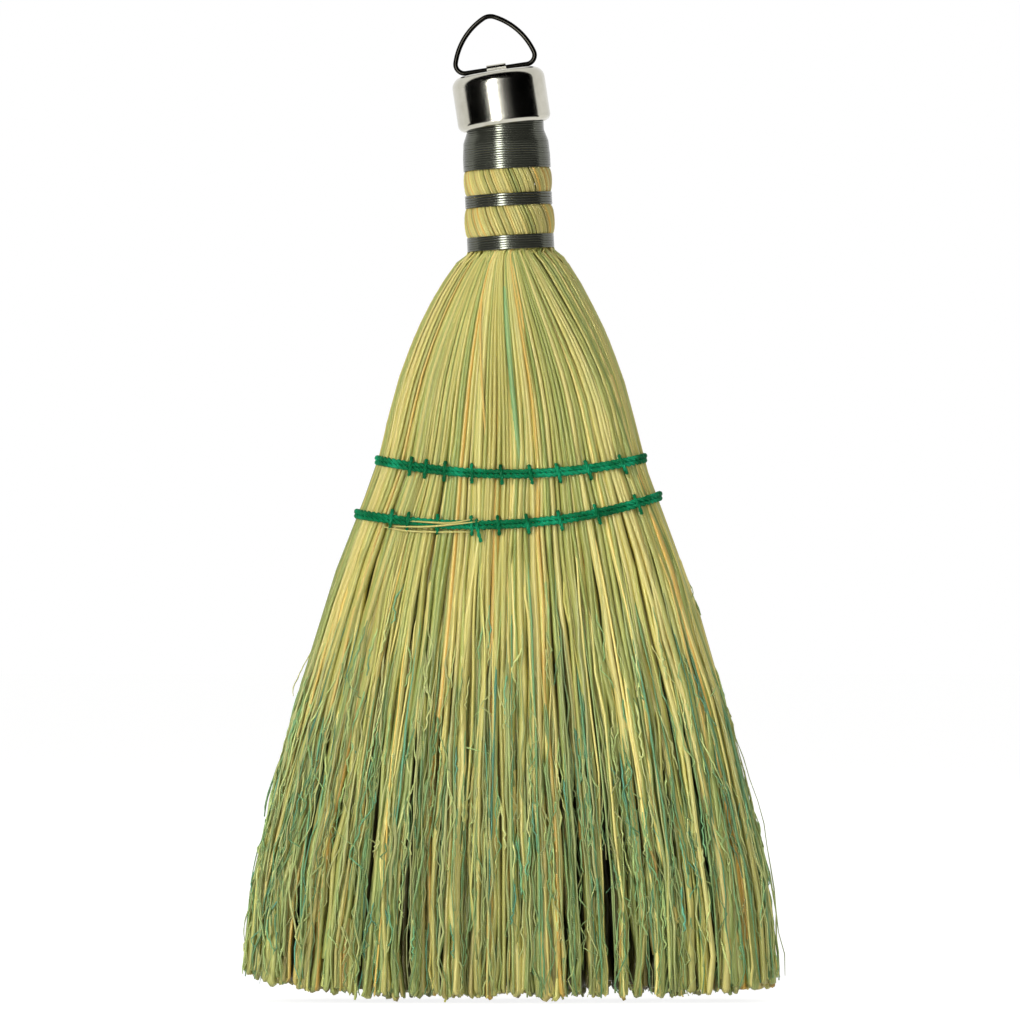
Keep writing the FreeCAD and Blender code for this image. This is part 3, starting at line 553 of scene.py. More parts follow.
def long_stems(bounds, count, rng, locks, layers, tops, emerge, thick, spill):
    """Stems that fan out from the neck to the trimmed end. Spill lets them cross into the next tuft."""
    share = (np.arange(count) + rng.uniform(0.25, 0.75, count)) / count
    lock = np.abs(share[:, None] - locks["place"]).argmin(1)
    top = rng.uniform(*tops, count)[:, None]
    bottom = (trimmed_end(share, bounds, rng, *STEM_CUTS) + locks["end"][lock])[:, None]
    if layers[0] > FILLING_DEPTH:
        bottom = bottom + FILLING_RISE
    z = top + (bottom - top) * STEM_DROP ** rng.uniform(0.94, 1.08, (count, 1))
    rough = np.interp(z, ROUGHEN[:, 0], ROUGHEN[:, 1])
    gathered = ease((GATHER_TOP - z) / GATHER_LENGTH)
    pull = (locks["place"][lock] - share) * locks["hold"][lock]
    stray = rng.normal(0, STRAY_SPREAD, count)
    stray += np.where(rng.random(count) < STRAY_ODDS, rng.uniform(-STRAY_FAR, STRAY_FAR, count), 0)
    straying = ease((STRAY_LENGTH - z) / STRAY_LENGTH)
    across = share[:, None] + pull[:, None] * gathered + stray[:, None] * straying
    across = np.clip(across + spill * (share[:, None] - 0.5), -spill, 1 + spill)
    wave = rng.uniform(*WAVE_LENGTHS, (count, 1))
    phase = rng.uniform(0, 2 * math.pi, (count, 1))
    sway = rng.normal(0, WAVE_SPREAD, (count, 1)) * np.sin(z / wave + phase) * rough
    lock_sway = locks["sway"][lock][:, None] * np.sin(z / LOCK_WAVE + locks["phase"][lock][:, None])
    sway = sway + lock_sway * gathered
    sway = sway + rng.normal(0, JITTER, z.shape) * rough
    turn = across_tuft(across, z, bounds)
    _, _, speed = rim_frame(turn, z)
    radius = np.clip(rng.lognormal(math.log(thick), THICK_SPREAD, count), THINNEST, THICKEST)[:, None]
    radius = radius * np.interp(z, THICKEN[:, 0], THICKEN[:, 1])
    radius = radius * (1 + UNEVEN * rough * rng.uniform(-1, 1, z.shape))
    radius[:, -1] *= TIP_TAPER
    layer = rng.uniform(*layers, count)[:, None]
    rising = rng.uniform(*emerge, (count, 1)) * (1 - ease((top - z) / EMERGE_LENGTH))
    lift = (locks["depth"][lock][:, None] + rng.uniform(-0.6, 0.8, (count, 1))) * gathered
    inside = np.clip(across, 0, 1)
    inset = radius + layer + rising + lift + tuft_roundness(inside, z) + lock_depth(inside, z, locks)
    inset = np.clip(inset + rng.normal(0, 0.15, z.shape) * rough, 0.7 * radius, DEEPEST_SHARE * girth(z)[1])
    return on_broom(turn + sway / speed, inset, z), radius


# %% Side shoots
SHOOT_DROP = np.linspace(0, 1, 14)
PATCHES, PATCH_SPREAD, SINGLE_ODDS = 6, 0.05, 0.4
SHOOT_CUTS = (0.6, 60)
SHORTEST = (10, 30)
SHOOT_DRIFT = 0.09
CURL_LENGTHS = (2.2, 6)
TUCK_DEPTH, TUCK_SHARE = 1.3, 0.2
LOOSE_ODDS, LOOSE_REACH = 0.07, (0.6, 2.2)
print("points on a stem and on a shoot:", len(STEM_DROP), len(SHOOT_DROP))


def side_shoots(bounds, count, rng, locks, thick, kink, tops, longest, depth):
    """Shoots that leave the stems in the lower half, wavy and knotted, in patches. A few stand off loose."""
    patches = rng.uniform(0, 1, PATCHES)
    share = patches[rng.integers(0, PATCHES, count)] + rng.normal(0, PATCH_SPREAD, count)
    share = np.where(rng.random(count) < SINGLE_ODDS, rng.uniform(0, 1, count), np.clip(share, 0, 1))
    top = rng.triangular(*tops, count)[:, None]
    bottom = trimmed_end(share, bounds, rng, *SHOOT_CUTS)[:, None]
    bottom = np.minimum(bottom, top - rng.uniform(*SHORTEST, (count, 1)))
    bottom = np.maximum(bottom, top - rng.uniform(0.35, 1, (count, 1)) * longest)
    bottom = np.maximum(bottom, 1.5 + trimmed_end(share, bounds, rng, 0, 3)[:, None])
    z = top + (bottom - top) * SHOOT_DROP
    fall = SHOOT_DROP[None, :]
    across = np.clip(share[:, None] + rng.normal(0, SHOOT_DRIFT, (count, 1)) * fall, -0.05, 1.05)
    turn = across_tuft(across, z, bounds)
    _, _, speed = rim_frame(turn, z)
    swing = kink * rng.gamma(2, 0.3, (count, 1)) * fall**0.6
    length = rng.uniform(*CURL_LENGTHS, (count, 1))
    phase = rng.uniform(0, 2 * math.pi, (count, 2, 1))
    sideways = swing * (np.sin(z / length + phase[:, 0]) + 0.5 * np.sin(z / length * 2.3 + phase[:, 1]))
    sideways = sideways + rng.normal(0, 0.25 * kink, z.shape) * fall
    tucked = TUCK_DEPTH * (1 - ease(fall / TUCK_SHARE))
    rolling = 0.6 * swing * np.sin(z / length * 1.4 + phase[:, 1])
    inset = rng.beta(0.8, 1.7, (count, 1)) * depth + rolling + tucked
    inset = np.maximum(inset, 0.4 - 0.8 * fall) + 0.8 * lock_depth(np.clip(across, 0, 1), z, locks)
    loose = np.where(rng.random((count, 1)) < LOOSE_ODDS, rng.uniform(*LOOSE_REACH, (count, 1)), 0)
    inset = inset - loose * np.sin(math.pi * fall * rng.uniform(0.6, 1, (count, 1)))
    radius = rng.uniform(*thick, (count, 1)) * rng.uniform(0.6, 1.5, z.shape)
    radius = radius * np.minimum(1, 0.35 + 5 * fall) * (1 - 0.35 * fall**6)
    return on_broom(turn + sideways / speed, inset, z), radius


# %% [markdown]
# ## Straws that stand out
# A few straws catch the eye: a teal blade and orange stems in the shoulder, three loose ones caught at the
# lower row, and a brown scar low on the right. Chance would not put them there, so each is laid through a
# few listed points, and becomes part of the tuft that it lies on. The shoots get their numbers here too.


# %% Shoots and single straws
def laid_straw(thick, points):
    """A single straw laid on the front through given points of x, z and inset."""
    x, z, inset = smooth_line(points, 4).T
    turn = np.arccos(-x / girth(z)[0])
    return on_broom(turn, inset, z), thick * (1 - 0.6 * np.linspace(-1, 1, len(x)) ** 4)


# how many to a width, their shades, thickness, kink, heights where they start, longest length and depth
SHOOTS = [
    (13, (0.65, 1.15), (0.24, 0.44), 0.7, (30, 138, 146), 300, 4.5),
    (17, (0.65, 1.15), (0.14, 0.28), 1.2, (15, 100, 136), 300, 4.5),
    (9, (0.65, 1.15), (0.16, 0.28), 2.0, (12, 50, 125), 300, 4.5),
    (34, (0.8, 1.5), (0.16, 0.32), 1.5, (14, 60, 138), 26, 1.6),
]
# finish, tint, shade, thickness and points of each straw
LAID = {
    "front_tuft_3": [
        (stem_finish, 0.7, 1, 0.36, [
            (-39, 146.2, 0.3), (-33, 144.9, -0.3), (-22, 144.6, -0.5), (-10.3, 144.7, -0.3),
        ]),
        (stem_finish, 0.72, 1, 0.32, [
            (-37.6, 146.6, -0.2), (-29, 146, -1.7), (-19, 146.8, -1.9), (-9.8, 147.9, -1.4),
        ]),
        (stem_finish, 0.6, 1, 0.3, [
            (-34, 148.2, -0.5), (-25, 147.6, -1.7), (-17, 147.2, -1.9), (-10.2, 149, -0.8),
        ]),
        (stem_finish, 0.99, 1, 0.5, [
            (-7.3, 229, 1.4), (-9.4, 219, 0.5), (-9.4, 195, 0.4), (-7.4, 170, 0.8), (-7, 160, 2),
        ]),
    ],
    "front_tuft_5": [
        (fibre_finish, 0.74, 1.25, 0.8, [
            (-2.2, 230, 1.6), (-1.9, 216, 0.4), (0.3, 190, 0.35), (2.4, 168, 0.6), (3, 159, 2),
        ]),
        (stem_finish, 0.99, 1, 0.45, [(-0.4, 232.5, 1), (1.4, 222, 0.4), (3.9, 210, 0.5), (5.6, 190, 1.6)]),
    ],
    "front_tuft_7": [
        (stem_finish, 1, 0.55, 0.5, [(41.5, 50, 2), (43.2, 46, -0.3), (44.6, 42.5, -0.5), (45, 36, 1.5)]),
    ],
}
print("straws laid by hand:", sum(len(straws) for straws in LAID.values()))


# %% [markdown]
# ## The whole of the straw
# A tuft is its handle stems, seven groups of long stems from the surface inwards, its shoots and any laid
# straws, joined into one mesh. Growing the tufts one by one keeps every piece in step with its solid: from
# the sewing down it lies between the same partings, and it rides on the same body. The side tufts wrap
# round the ends of the oval, so they are wider and have more locks.


# %% One whole tuft
HANDLE_STEMS = 6


def tints(count, rng, shades):
    return {"straw_tint": rng.random(count), "straw_shade": rng.uniform(*shades, count)}


def grow_tuft(node, bounds, width, necked, locks, seed):
    """All the strands of one tuft, as the piece that stands for its solid.

    A width of 1 is about 17 mm at the floor, and necked is how many stems of each outer layer reach the neck.
    """
    rng = np.random.default_rng(seed)
    locks = make_locks(*locks, rng)
    neck = (NECK + 2.5, NECK + 4.2)
    # how many, depths below the surface, heights of their tops, how deep they start, thickness, spill, shades
    # the shades are partly painted light: darker with depth, a painted shade inside the bundle, and lightest
    # for the thin stems at the surface, a painted highlight; the spread within a group is each stem's own
    # tone
    groups = [
        (necked, (0, 0.3), neck, (0, 0.1), 0.72, 0, (0.86, 1.1)),
        (necked, (1.0, 1.7), neck, (0, 0.1), 0.7, 0.04, (0.62, 0.95)),
        (round(6 * width), (0.1, 1.4), (212, NECK + 2), (0.8, 3.5), 0.74, 0, (0.78, 1.36)),
        (round(5 * width), (-0.1, 0.8), (120, 185), (1.5, 4), 0.34, 0, (1, 1.4)),
        (round(8 * width), (1.4, 3.4), (205, NECK + 1), (1, 4), 0.68, 0.06, (0.4, 1)),
        (round(14 * width) + 4, (3.2, 7), (170, 229), (0, 1), 0.7, 0.1, (0.22, 0.45)),
        (round(8 * width) + 5, (8, 16), (150, 229), (0, 1), 0.8, 0.5, (0.15, 0.3)),
    ]
    stems = handle_stems(bounds, HANDLE_STEMS, rng)
    marks = tints(HANDLE_STEMS, rng, (0.42, 0.98))
    marks["straw_tint"] = marks["straw_tint"] ** 0.7
    meshes = [strand_mesh(node, *stems, 1, **marks)]
    for count, layers, tops, emerge, thick, spill, shades in groups:
        stems = long_stems(bounds, count, rng, locks, layers, tops, emerge, thick, spill)
        meshes.append(strand_mesh(node, *stems, 0, **tints(count, rng, shades)))
    finishes = [stem_finish] * len(meshes)
    for each, shades, *habit in SHOOTS:
        count = round(each * width)
        shoots = side_shoots(bounds, count, rng, locks, *habit)
        meshes.append(strand_mesh(node, *shoots, 0, **tints(count, rng, shades)))
        finishes.append(fibre_finish)
    for finish, tint, shade, thick, points in LAID.get(node, []):
        line, radius = laid_straw(thick, points)
        meshes.append(strand_mesh(node, [line], [radius], 0, straw_tint=[tint], straw_shade=[shade]))
        finishes.append(finish)
    piece = close_and_join(node + "_straw", meshes, finishes)
    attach(piece, "broom")
    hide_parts(node)
    return piece


# %% Grow every tuft
def front_bounds(index):
    return lambda z: (parting(index, z), parting(index + 1, z))


def back_bounds(index):
    return lambda z: (2 * math.pi - parting(index + 1, z), 2 * math.pi - parting(index, z))


def left_bounds(z):
    return -parting(0, z), parting(0, z)


def right_bounds(z):
    return parting(8, z), 2 * math.pi - parting(8, z)


FURROW_SHARES = (0.56, 0.44, 0.58, 0.47, 0.53, 0.42, 0.57, 0.45)
floor_widths = np.diff(FLOOR_SHARES) / 0.2
ninths = np.linspace(0, 1, 10)
left_crowns = np.array([0.1, 0.35, 0.05, 0.3, 0, 0.2, 0, 0.05, 0.25])
right_crowns = np.array([0.1, 0.35, 0, 0.25, 0, 0.15, 0.3, 0, 0.3])
straw = [
    grow_tuft("left_side_tuft", left_bounds, 3.5, 20, (ninths, left_crowns, 1), 3),
    grow_tuft("right_side_tuft", right_bounds, 3.2, 26, (ninths, right_crowns, 1), 5),
]
flush = np.zeros(2)
for index, width in enumerate(floor_widths):
    front = (np.array([0, FURROW_SHARES[index], 1]), flush, 2)
    back = (np.array([0, 1 - FURROW_SHARES[7 - index], 1]), flush, 2)
    straw.append(grow_tuft(f"front_tuft_{index + 1}", front_bounds(index), width, 6, front, 20 + index))
    straw.append(grow_tuft(f"back_tuft_{index + 1}", back_bounds(index), width, 6, back, 60 + index))
print("straw faces:", sum(len(piece.data.polygons) for piece in straw))

# %% [markdown]
# ## Binding wire
# The handle is bound with fine blackened steel wire, pulled tight so that each turn lies against the last. A
# stack of rings would look much the same from far off, but one unbroken helix has the slight slope that
# gives wound wire away. The wire has a dark, streaky shine, because it mirrors whatever stands before it and
# its black skin, which is not all metal, dulls the mirror a little.


# %% Drawn steel wire
def drawn_steel():
    """Blackened steel wire: a dark metal whose fine lengthwise die marks blur its reflection a little."""
    material, tree, shader = new_material("drawn_steel_wire")
    own_map = add_node(tree, "ShaderNodeUVMap", {"uv_map": "UVMap"})
    stretch = add_node(tree, "ShaderNodeMapping", Vector=own_map.outputs["UV"], Scale=(6, 60, 1))
    marks = add_node(tree, "ShaderNodeTexNoise", Vector=stretch.outputs["Vector"], Scale=1, Detail=4)
    rough = ranged(tree, marks.outputs["Fac"], 0, 1, 0.12, 0.26)
    tone = add_node(tree, "ShaderNodeValToRGB", Fac=marks.outputs["Fac"])
    set_ramp(tone, [(0.3, "#46483E"), (0.7, "#66685D")])
    plug(tree, shader, Base_Color=tone.outputs["Color"], Roughness=rough, Metallic=0.75)
    return material


WIRE = 0.72
FLATTEN = 0.22
POINTS_PER_TURN = 30
WIRE_WOBBLE = 0.03
# a little over half, so that the turns touch
WIRE_SHARE = 0.52
WIRE_SEAT = 0.7
BAND_RADIUS, CORE_RADIUS = 13.4, 7.72
wire_finish = drawn_steel()


def wind(node, bottom, top, radius_at, seed):
    """Tight helix of wire between two heights of the handle, pressed a little flat by the pull."""
    rng = np.random.default_rng(seed)
    turns = math.floor((top - bottom - WIRE) / WIRE)
    steps = np.linspace(0, turns, turns * POINTS_PER_TURN + 1)
    wobble = np.interp(steps, np.arange(turns + 1), rng.normal(0, WIRE_WOBBLE, turns + 1))
    height = bottom + WIRE / 2 + (top - bottom - WIRE) * steps / turns + wobble
    turn = 2 * math.pi * steps + math.pi / 2
    radius = radius_at(height)
    line = np.stack([radius * np.cos(turn), radius * np.sin(turn), height], -1)
    mesh = strand_mesh(node, [line], [np.full(len(line), WIRE * WIRE_SHARE)], 2)
    skin = np.zeros(3 * len(mesh.vertices))
    mesh.vertices.foreach_get("co", skin)
    x, y, height = skin.reshape(-1, 3).T / MM
    out = np.hypot(x, y)
    pressed = (radius_at(height) * (1 - FLATTEN) + out * FLATTEN) / out
    mesh.vertices.foreach_set("co", (lean_over(x * pressed, y * pressed, height) * MM).ravel())
    piece = close_and_join(node + "_wire", [mesh], [wire_finish])
    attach(piece, "broom")
    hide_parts(node)
    print(node, "turns:", turns)


def on_handle(height):
    return handle_surface(height) + WIRE_SEAT


def at_radius(radius):
    return lambda height: np.full_like(height, radius)


# %% Wind the four bands
wind("lower_wire_winding", -0.1, 5.0, at_radius(BAND_RADIUS), 1)
wind("middle_wire_winding", 13.3, 17.9, at_radius(BAND_RADIUS), 2)
wind("upper_wire_winding", 24.8, 43.6, on_handle, 3)
wind("core_wire_winding", 13.3, 33.3, at_radius(CORE_RADIUS), 4)

# %% [markdown]
# ## Twine
# Two rows of green twine hold the straw flat. Each row is laid twice round the broom, and a thread sewn
# through the straw catches it at every parting. The twine is spun from two plies, so it is made as two
# strands turning round one line rather than as one smooth tube: the plies catch light in short slanting
# beads.


# %% Twine and its line
def dyed_twine():
    """Dyed and waxed cotton twine: saturated, with fine fuzz that spreads a soft shine along each ply."""
    material, tree, shader = new_material("dyed_cotton_twine")
    place = add_node(tree, "ShaderNodeTexCoord")
    # single fibres are far too fine to show, so they are drawn about 0.25 mm wide
    grain = add_node(tree, "ShaderNodeTexNoise", Vector=place.outputs["Object"], Scale=4000, Detail=2)
    fade = add_node(tree, "ShaderNodeTexNoise", Vector=place.outputs["Object"], Scale=180, Detail=2)
    fleck = math_node(tree, "MULTIPLY_ADD", grain.outputs["Fac"], 0.55, fade.outputs["Fac"])
    tone = add_node(tree, "ShaderNodeValToRGB", Fac=fleck)
    set_ramp(tone, [(0.5, "#00502D"), (0.78, "#006C3F"), (1.0, "#12986A")])
    bump = add_node(tree, "ShaderNodeBump", Strength=0.4, Distance=0.0002, Height=grain.outputs["Fac"])
    plug(tree, shader, Base_Color=tone.outputs["Color"], Normal=bump.outputs["Normal"])
    plug(tree, shader, Roughness=0.6, Specular_IOR_Level=0.12)
    return material


TWINE = 1.6
STITCH_THREAD = 1.1
PLY_PITCH = 3.6
PLY_SHARE = 0.33
twine_finish = dyed_twine()


def spin_plies(line, twine):
    """Two plies that turn round a line."""
    along = np.gradient(line, axis=0)
    along /= np.linalg.norm(along, axis=1)[:, None]
    travelled = np.r_[0, np.cumsum(np.linalg.norm(np.diff(line, axis=0), axis=1))]
    side = np.zeros_like(line)
    previous = Vector((0.2, 0.1, 1)).normalized()
    for number, heading in enumerate(along):
        heading = Vector(heading)
        previous = (previous - heading * previous.dot(heading)).normalized()
        side[number] = previous
    across = np.cross(along, side)
    plies = []
    for phase in (0, math.pi):
        angle = (2 * math.pi * travelled / PLY_PITCH + phase)[:, None]
        plies.append(line + twine / 4 * (side * np.cos(angle) + across * np.sin(angle)))
    return plies


def twine_piece(node, routes, twine=TWINE):
    meshes = []
    for route in routes:
        for ply in spin_plies(route, twine):
            meshes.append(strand_mesh(node, [ply], [np.full(len(ply), twine * PLY_SHARE)], 1))
    piece = close_and_join(node + "_twine", meshes, [twine_finish])
    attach(piece, "broom")
    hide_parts(node)
    print(node, "faces:", len(piece.data.polygons))


def row_level(row, rise, tilt, share):
    return row + rise * share**2 + tilt * share


# %% Lay the wraps
UPPER_RISE, LOWER_RISE = 4.6, 5.9
LOWER_TILT = 2.4
TWINE_SINK = 0.3
LAP_RISE = 1.35
WRAP_POINTS = 640


def wrap_route(row, rise, tilt):
    """Twine laid twice round the straw from the middle of the back."""
    turn = np.linspace(-math.pi / 2, 3.5 * math.pi, WRAP_POINTS)
    laps = (turn + math.pi / 2) / (2 * math.pi)
    share = -np.cos(turn)
    z = row_level(row, rise, tilt, share)
    half_width, half_depth = girth(z)
    point = rim(turn, half_width, half_depth)
    _, outward, _ = rim_frame(turn, z)
    flat = point + outward * (TWINE / 2 - TWINE_SINK)
    return np.stack([flat[:, 0], flat[:, 1], z + LAP_RISE * (laps - 1)], -1)


twine_piece("upper_twine_wrap", [wrap_route(UPPER_ROW, UPPER_RISE, 0)])
twine_piece("lower_twine_wrap", [wrap_route(LOWER_ROW, LOWER_RISE, LOWER_TILT)])


# %% [markdown]
# ## Stitches
# One thread sews each row: it dives through the straw at a parting, comes over the twine and dives back. A
# short loop at each parting would look alike in front, but a thread that really goes through shows the same
# stitch behind, and its corners are pulled round by the spline as a tight thread's are.


# %% Sew the stitches
# climb from the middle of the twine, as a share, and how far the thread stands proud there
STITCH_PATH = [(1, -5), (1, 0.2), (0.35, 1.3), (-0.35, 1.3), (-1, 0.2), (-1, -5)]
STITCH_ABOVE, STITCH_BELOW = 2.5, 3.0
STITCH_SLANT = 0.35


def stitch_route(row, rise, tilt, shares):
    """One thread: up over the wrap in front at each parting, through the straw, and over it at the back."""
    corners = []
    for share in shares:
        level = row_level(row, rise, tilt, share)
        for face in (-1, 1):
            for climb, proud in STITCH_PATH:
                z = level + face * climb * (STITCH_ABOVE if face * climb > 0 else STITCH_BELOW)
                half_width, half_depth = girth(z)
                x = share * half_width - STITCH_SLANT * face * climb
                depth = -rim(np.arccos(-x / half_width), half_width, half_depth)[1]
                corners.append((x, face * (depth + proud), z))
    return smooth_line(corners, 5)


# the cut end of the thread hangs out at one stitch
END_POINTS = [(-10.6, -13.9, 148.6), (-10.4, -14.6, 146.4), (-10, -14, 144.2), (-9.2, -13.6, 141.6)]
twine_end = smooth_line(END_POINTS, 6)
upper_thread = stitch_route(UPPER_ROW, UPPER_RISE, 0, UPPER_SHARES)
lower_thread = stitch_route(LOWER_ROW, LOWER_RISE, LOWER_TILT, LOWER_SHARES)
twine_piece("upper_stitching", [upper_thread], STITCH_THREAD)
twine_piece("lower_stitching", [lower_thread, twine_end], STITCH_THREAD)

# %% [markdown]
# ## Metal fittings
# The cap is pressed from sheet steel and plated with nickel, and the ring is bent from plated wire. Their
# solids already have the true shape, so they only need a finish: a mirror with faint handling marks, since a
# perfect mirror looks drawn rather than made.
# The ring's mirror is toned near black, a painted shade that keeps it dark all round.


# %% Plated steel
def plated_mirror(name, low, high, smooth, worn):
    """Nickel plate over steel, a warm mirror hazed by handling: bright for the cap, near black as painted
    shade.
    """
    material, tree, shader = new_material(name)
    place = add_node(tree, "ShaderNodeTexCoord")
    # handling haze in patches of about 6 mm, and fine wipe marks 0.3 mm apart along the cap
    haze = add_node(tree, "ShaderNodeTexNoise", Vector=place.outputs["Object"], Scale=160, Detail=3)
    wipe_map = add_node(tree, "ShaderNodeMapping", Vector=place.outputs["Object"], Scale=(300, 300, 3000))
    wipes = add_node(tree, "ShaderNodeTexNoise", Vector=wipe_map.outputs["Vector"], Scale=1, Detail=2)
    marks = math_node(tree, "MULTIPLY", haze.outputs["Fac"], wipes.outputs["Fac"])
    rough = ranged(tree, marks, 0.1, 0.45, smooth, worn)
    tone = add_node(tree, "ShaderNodeValToRGB", Fac=haze.outputs["Fac"])
    set_ramp(tone, [(0.3, low), (0.7, high)])
    plug(tree, shader, Base_Color=tone.outputs["Color"], Roughness=rough, Metallic=1)
    return material


def dress(node, material):
    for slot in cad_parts[node].material_slots:
        slot.material = material
    print(node, "gets", material.name)


dress("cap", plated_mirror("nickel_plated_cap", "#B9B6A8", "#CBC8BB", 0.12, 0.2))
# the ring's tones are near black: painted shade, which keeps its mirror dark all round
dress("hanging_ring", plated_mirror("painted_shade_ring_wire", "#191815", "#272621", 0.1, 0.2))

# %% [markdown]
# ## The stalk core
# Inside the handle, cut stalks fill out the bundle. They hardly show, so their solids stay as they are and
# get a dry, fibrous finish of the same corn.


# %% Dry stalk
def dry_stalk():
    """Dry corn stalk: a matt, fibrous rind, pale brown."""
    material, tree, shader = new_material("dry_corn_stalk")
    place = add_node(tree, "ShaderNodeTexCoord")
    # rind fibres 0.4 mm wide and 20 mm long
    stretch = add_node(tree, "ShaderNodeMapping", Vector=place.outputs["Object"], Scale=(2500, 2500, 50))
    fibres = add_node(tree, "ShaderNodeTexNoise", Vector=stretch.outputs["Vector"], Scale=1, Detail=3)
    tone = add_node(tree, "ShaderNodeValToRGB", Fac=fibres.outputs["Fac"])
    set_ramp(tone, [(0.3, "#8E7F4A"), (0.7, "#C2B075")])
    bump = add_node(tree, "ShaderNodeBump", Strength=0.3, Distance=0.0002, Height=fibres.outputs["Fac"])
    plug(tree, shader, Base_Color=tone.outputs["Color"], Normal=bump.outputs["Normal"], Roughness=0.7)
    return material


dress("stalk_core", dry_stalk())

# %% [markdown]
# ## Studio
# The photograph is a catalogue picture: straight from the front through a long lens, on pure white, with a
# dark room before the broom and one tall soft light on the left, which the metal shows. The white comes from
# what camera and glossy rays find in the world, so the straw itself is lit at a plain level.
# The dark room and the light that the metal shows are a painted reflection: a dome that only mirror rays see.

# %% Camera
FRAME_WIDTH = 0.3146
DISTANCE = 3.0
AIM_X, AIM_HEIGHT = -0.0003, 0.1514
camera_data = bpy.data.cameras.new("camera")
camera_data.sensor_width = 36
camera_data.lens = 36 * DISTANCE / FRAME_WIDTH
camera = add_object("camera", camera_data)
camera.location = (AIM_X, -DISTANCE, AIM_HEIGHT)
camera.rotation_euler = (math.pi / 2, 0, 0)
bpy.context.scene.camera = camera
bpy.context.scene.view_settings.view_transform = "Standard"
print("lens:", round(camera_data.lens), "mm")


# %% World and floor
def white_for_camera(tree, plain, white, share=1):
    """Mix by ray: what the camera and mirrors see is white by a share, what lights the broom is plain."""
    ray = add_node(tree, "ShaderNodeLightPath")
    seen = math_node(tree, "MAXIMUM", ray.outputs["Is Camera Ray"], ray.outputs["Is Glossy Ray"])
    seen = math_node(tree, "MULTIPLY", seen, share)
    return add_node(tree, "ShaderNodeMixShader", _0=seen, _1=plain, _2=white)


world = bpy.data.worlds.new("studio")
world.use_nodes = True
bpy.context.scene.world = world
tree = world.node_tree
tree.nodes.clear()
soft = add_node(tree, "ShaderNodeBackground", Color=linear("#FFFFFF"), Strength=0.4)
white = add_node(tree, "ShaderNodeBackground", Color=linear("#FFFFFF"), Strength=1)
mixed = white_for_camera(tree, soft.outputs["Background"], white.outputs["Background"])
add_node(tree, "ShaderNodeOutputWorld", Surface=mixed.outputs["Shader"])

shape = bmesh.new()
bmesh.ops.create_grid(shape, x_segments=1, y_segments=1, size=6)
floor_mesh = mesh_from("floor", shape)
floor = add_object("floor", floor_mesh)
floor_material, tree, shader = new_material("white_paper")
plug(tree, shader, Base_Color=linear("#EDEDEB"), Roughness=0.9)
glow = add_node(tree, "ShaderNodeEmission", Color=linear("#FFFFFF"), Strength=1.25)
mixed = white_for_camera(tree, shader.outputs["BSDF"], glow.outputs["Emission"], 0.7)
plug(tree, tree.nodes["Material Output"], Surface=mixed.outputs["Shader"])
floor_mesh.materials.append(floor_material)
print("floor:", tuple(round(side, 2) for side in floor.dimensions), "m")


# %% [markdown]
# ## Light for the straw, a painted reflection for the metal
# Straw and metal need different light. The straw is lit by three soft lamps, the strongest from the left,
# which the metal does not show. The cap and the wire show a dome instead, which only mirror rays find: black,
# with one tall glowing strip, it paints the reflection of a dark room and a soft light into the metal, and
# lights nothing.


# %% Lights
def area_light(name, place, width, height, power):
    """Soft light for the straw. The metal does not show it."""
    lamp = bpy.data.lights.new(name, "AREA")
    lamp.shape = "RECTANGLE"
    lamp.size = width
    lamp.size_y = height
    lamp.energy = power
    light = add_object(name, lamp)
    light.location = place
    aim = Vector((0, 0, 0.15)) - Vector(place)
    light.rotation_euler = aim.to_track_quat("-Z", "Y").to_euler()
    light.visible_glossy = False
    print(name, power, "W")


area_light("key_light", (-1.5, -1.35, 0.9), 0.5, 1.2, 30)
area_light("fill_light", (1.3, -1.4, 1.1), 1.0, 1.0, 8)
area_light("back_light", (0.7, 1.7, 1.2), 1.2, 1.2, 16)


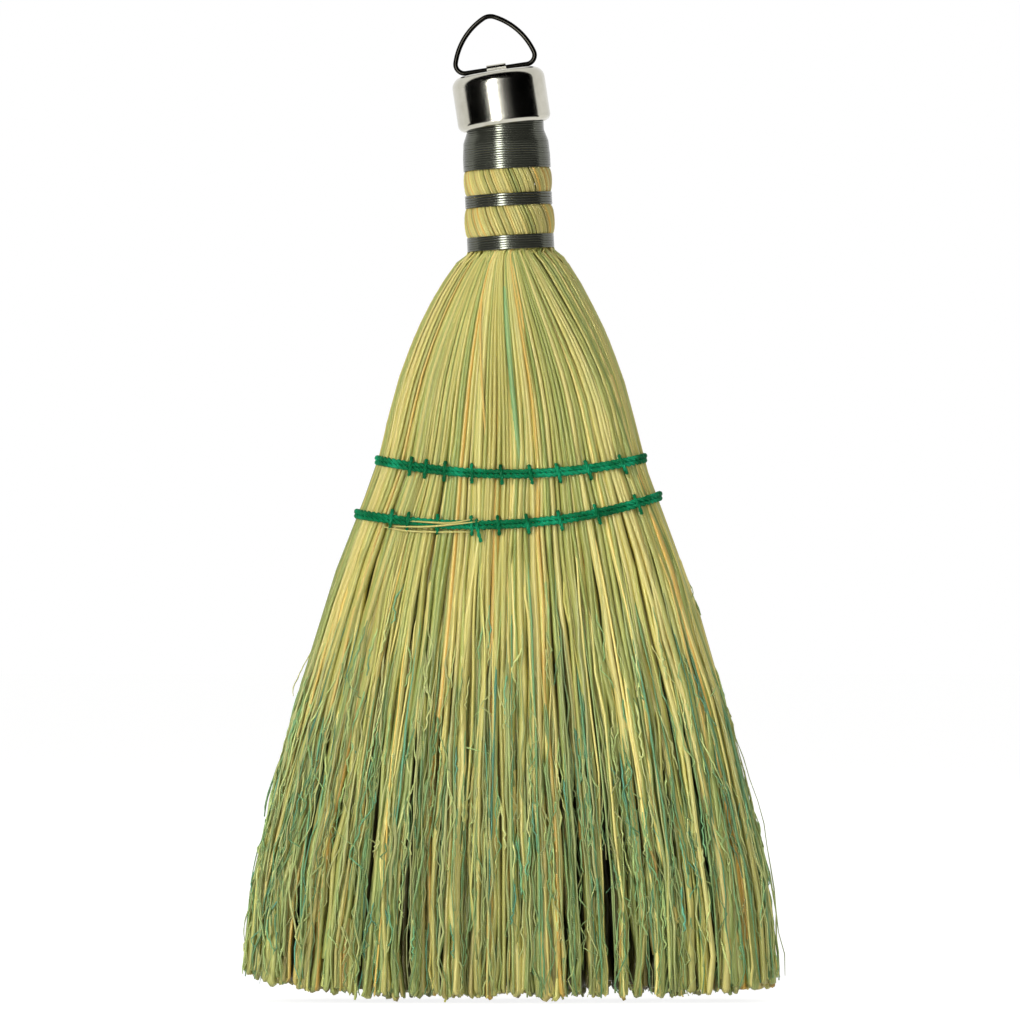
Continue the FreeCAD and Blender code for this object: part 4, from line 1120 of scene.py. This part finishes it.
# %% The painted reflection that the metal shows
def painted_reflection_finish():
    """Painted reflection: black all round, with one tall soft glowing strip on the left as a painted
    highlight.
    """
    material, tree, shader = new_material("painted_reflection_dome")
    tree.nodes.remove(shader)
    place = add_node(tree, "ShaderNodeTexCoord")
    axes = add_node(tree, "ShaderNodeSeparateXYZ", Vector=place.outputs["Object"])
    ahead = math_node(tree, "MULTIPLY", axes.outputs["Y"], -1)
    azimuth = math_node(tree, "ARCTAN2", axes.outputs["X"], ahead)
    share = ranged(tree, azimuth, math.radians(-60), math.radians(60))
    strip = add_node(tree, "ShaderNodeValToRGB", Fac=share)
    set_ramp(strip, [
        (0.13, "#000000"), (0.22, "#161616"), (0.27, "#363636"), (0.3, "#FFFFFF"), (0.37, "#FFFFFF"),
        (0.42, "#4C4C4C"), (0.5, "#313131"), (0.58, "#141414"), (0.73, "#000000"),
    ])
    # the strip fades out between 1.2 and 1.7 m up
    low = ranged(tree, axes.outputs["Z"], 1.7, 1.2)
    glow = add_node(
        tree, "ShaderNodeVectorMath", {"operation": "SCALE"}, _0=strip.outputs["Color"], Scale=low
    )
    # the glow lights nothing: it is a painted highlight that only the metal's reflections show
    light = add_node(tree, "ShaderNodeEmission", Color=glow.outputs["Vector"], Strength=24)
    plug(tree, tree.nodes["Material Output"], Surface=light.outputs["Emission"])
    return material


FLOOR_LIFT = 0.012
CLEARING = 0.36


def painted_reflection_dome(radius, back):
    """Painted reflection: a dark dome round the camera's side of the broom, which only mirror rays see,
    with a dark floor that stops short of it.
    """
    shape = bmesh.new()
    bmesh.ops.create_uvsphere(shape, u_segments=48, v_segments=48, radius=radius)
    for vert in shape.verts:
        vert.co.z = max(vert.co.z, FLOOR_LIFT)
    middle = [vert for vert in shape.verts if vert.co.z < 2 * FLOOR_LIFT and vert.co.xy.length < CLEARING]
    bmesh.ops.delete(shape, geom=middle, context="VERTS")
    everything = [*shape.verts, *shape.edges, *shape.faces]
    bmesh.ops.bisect_plane(
        shape, geom=everything, plane_co=(0, back, 0), plane_no=(0, 1, 0), clear_outer=True
    )
    mesh = mesh_from("painted_reflection_dome", shape)
    mesh.materials.append(painted_reflection_finish())
    room = add_object("painted_reflection_dome", mesh)
    # only mirror rays see the dome, so its black and its glow are painted reflections
    room.visible_camera = False
    room.visible_diffuse = False
    room.visible_shadow = False
    room.visible_transmission = False
    print("dark room faces:", len(mesh.polygons))


painted_reflection_dome(2.7, 0.2)
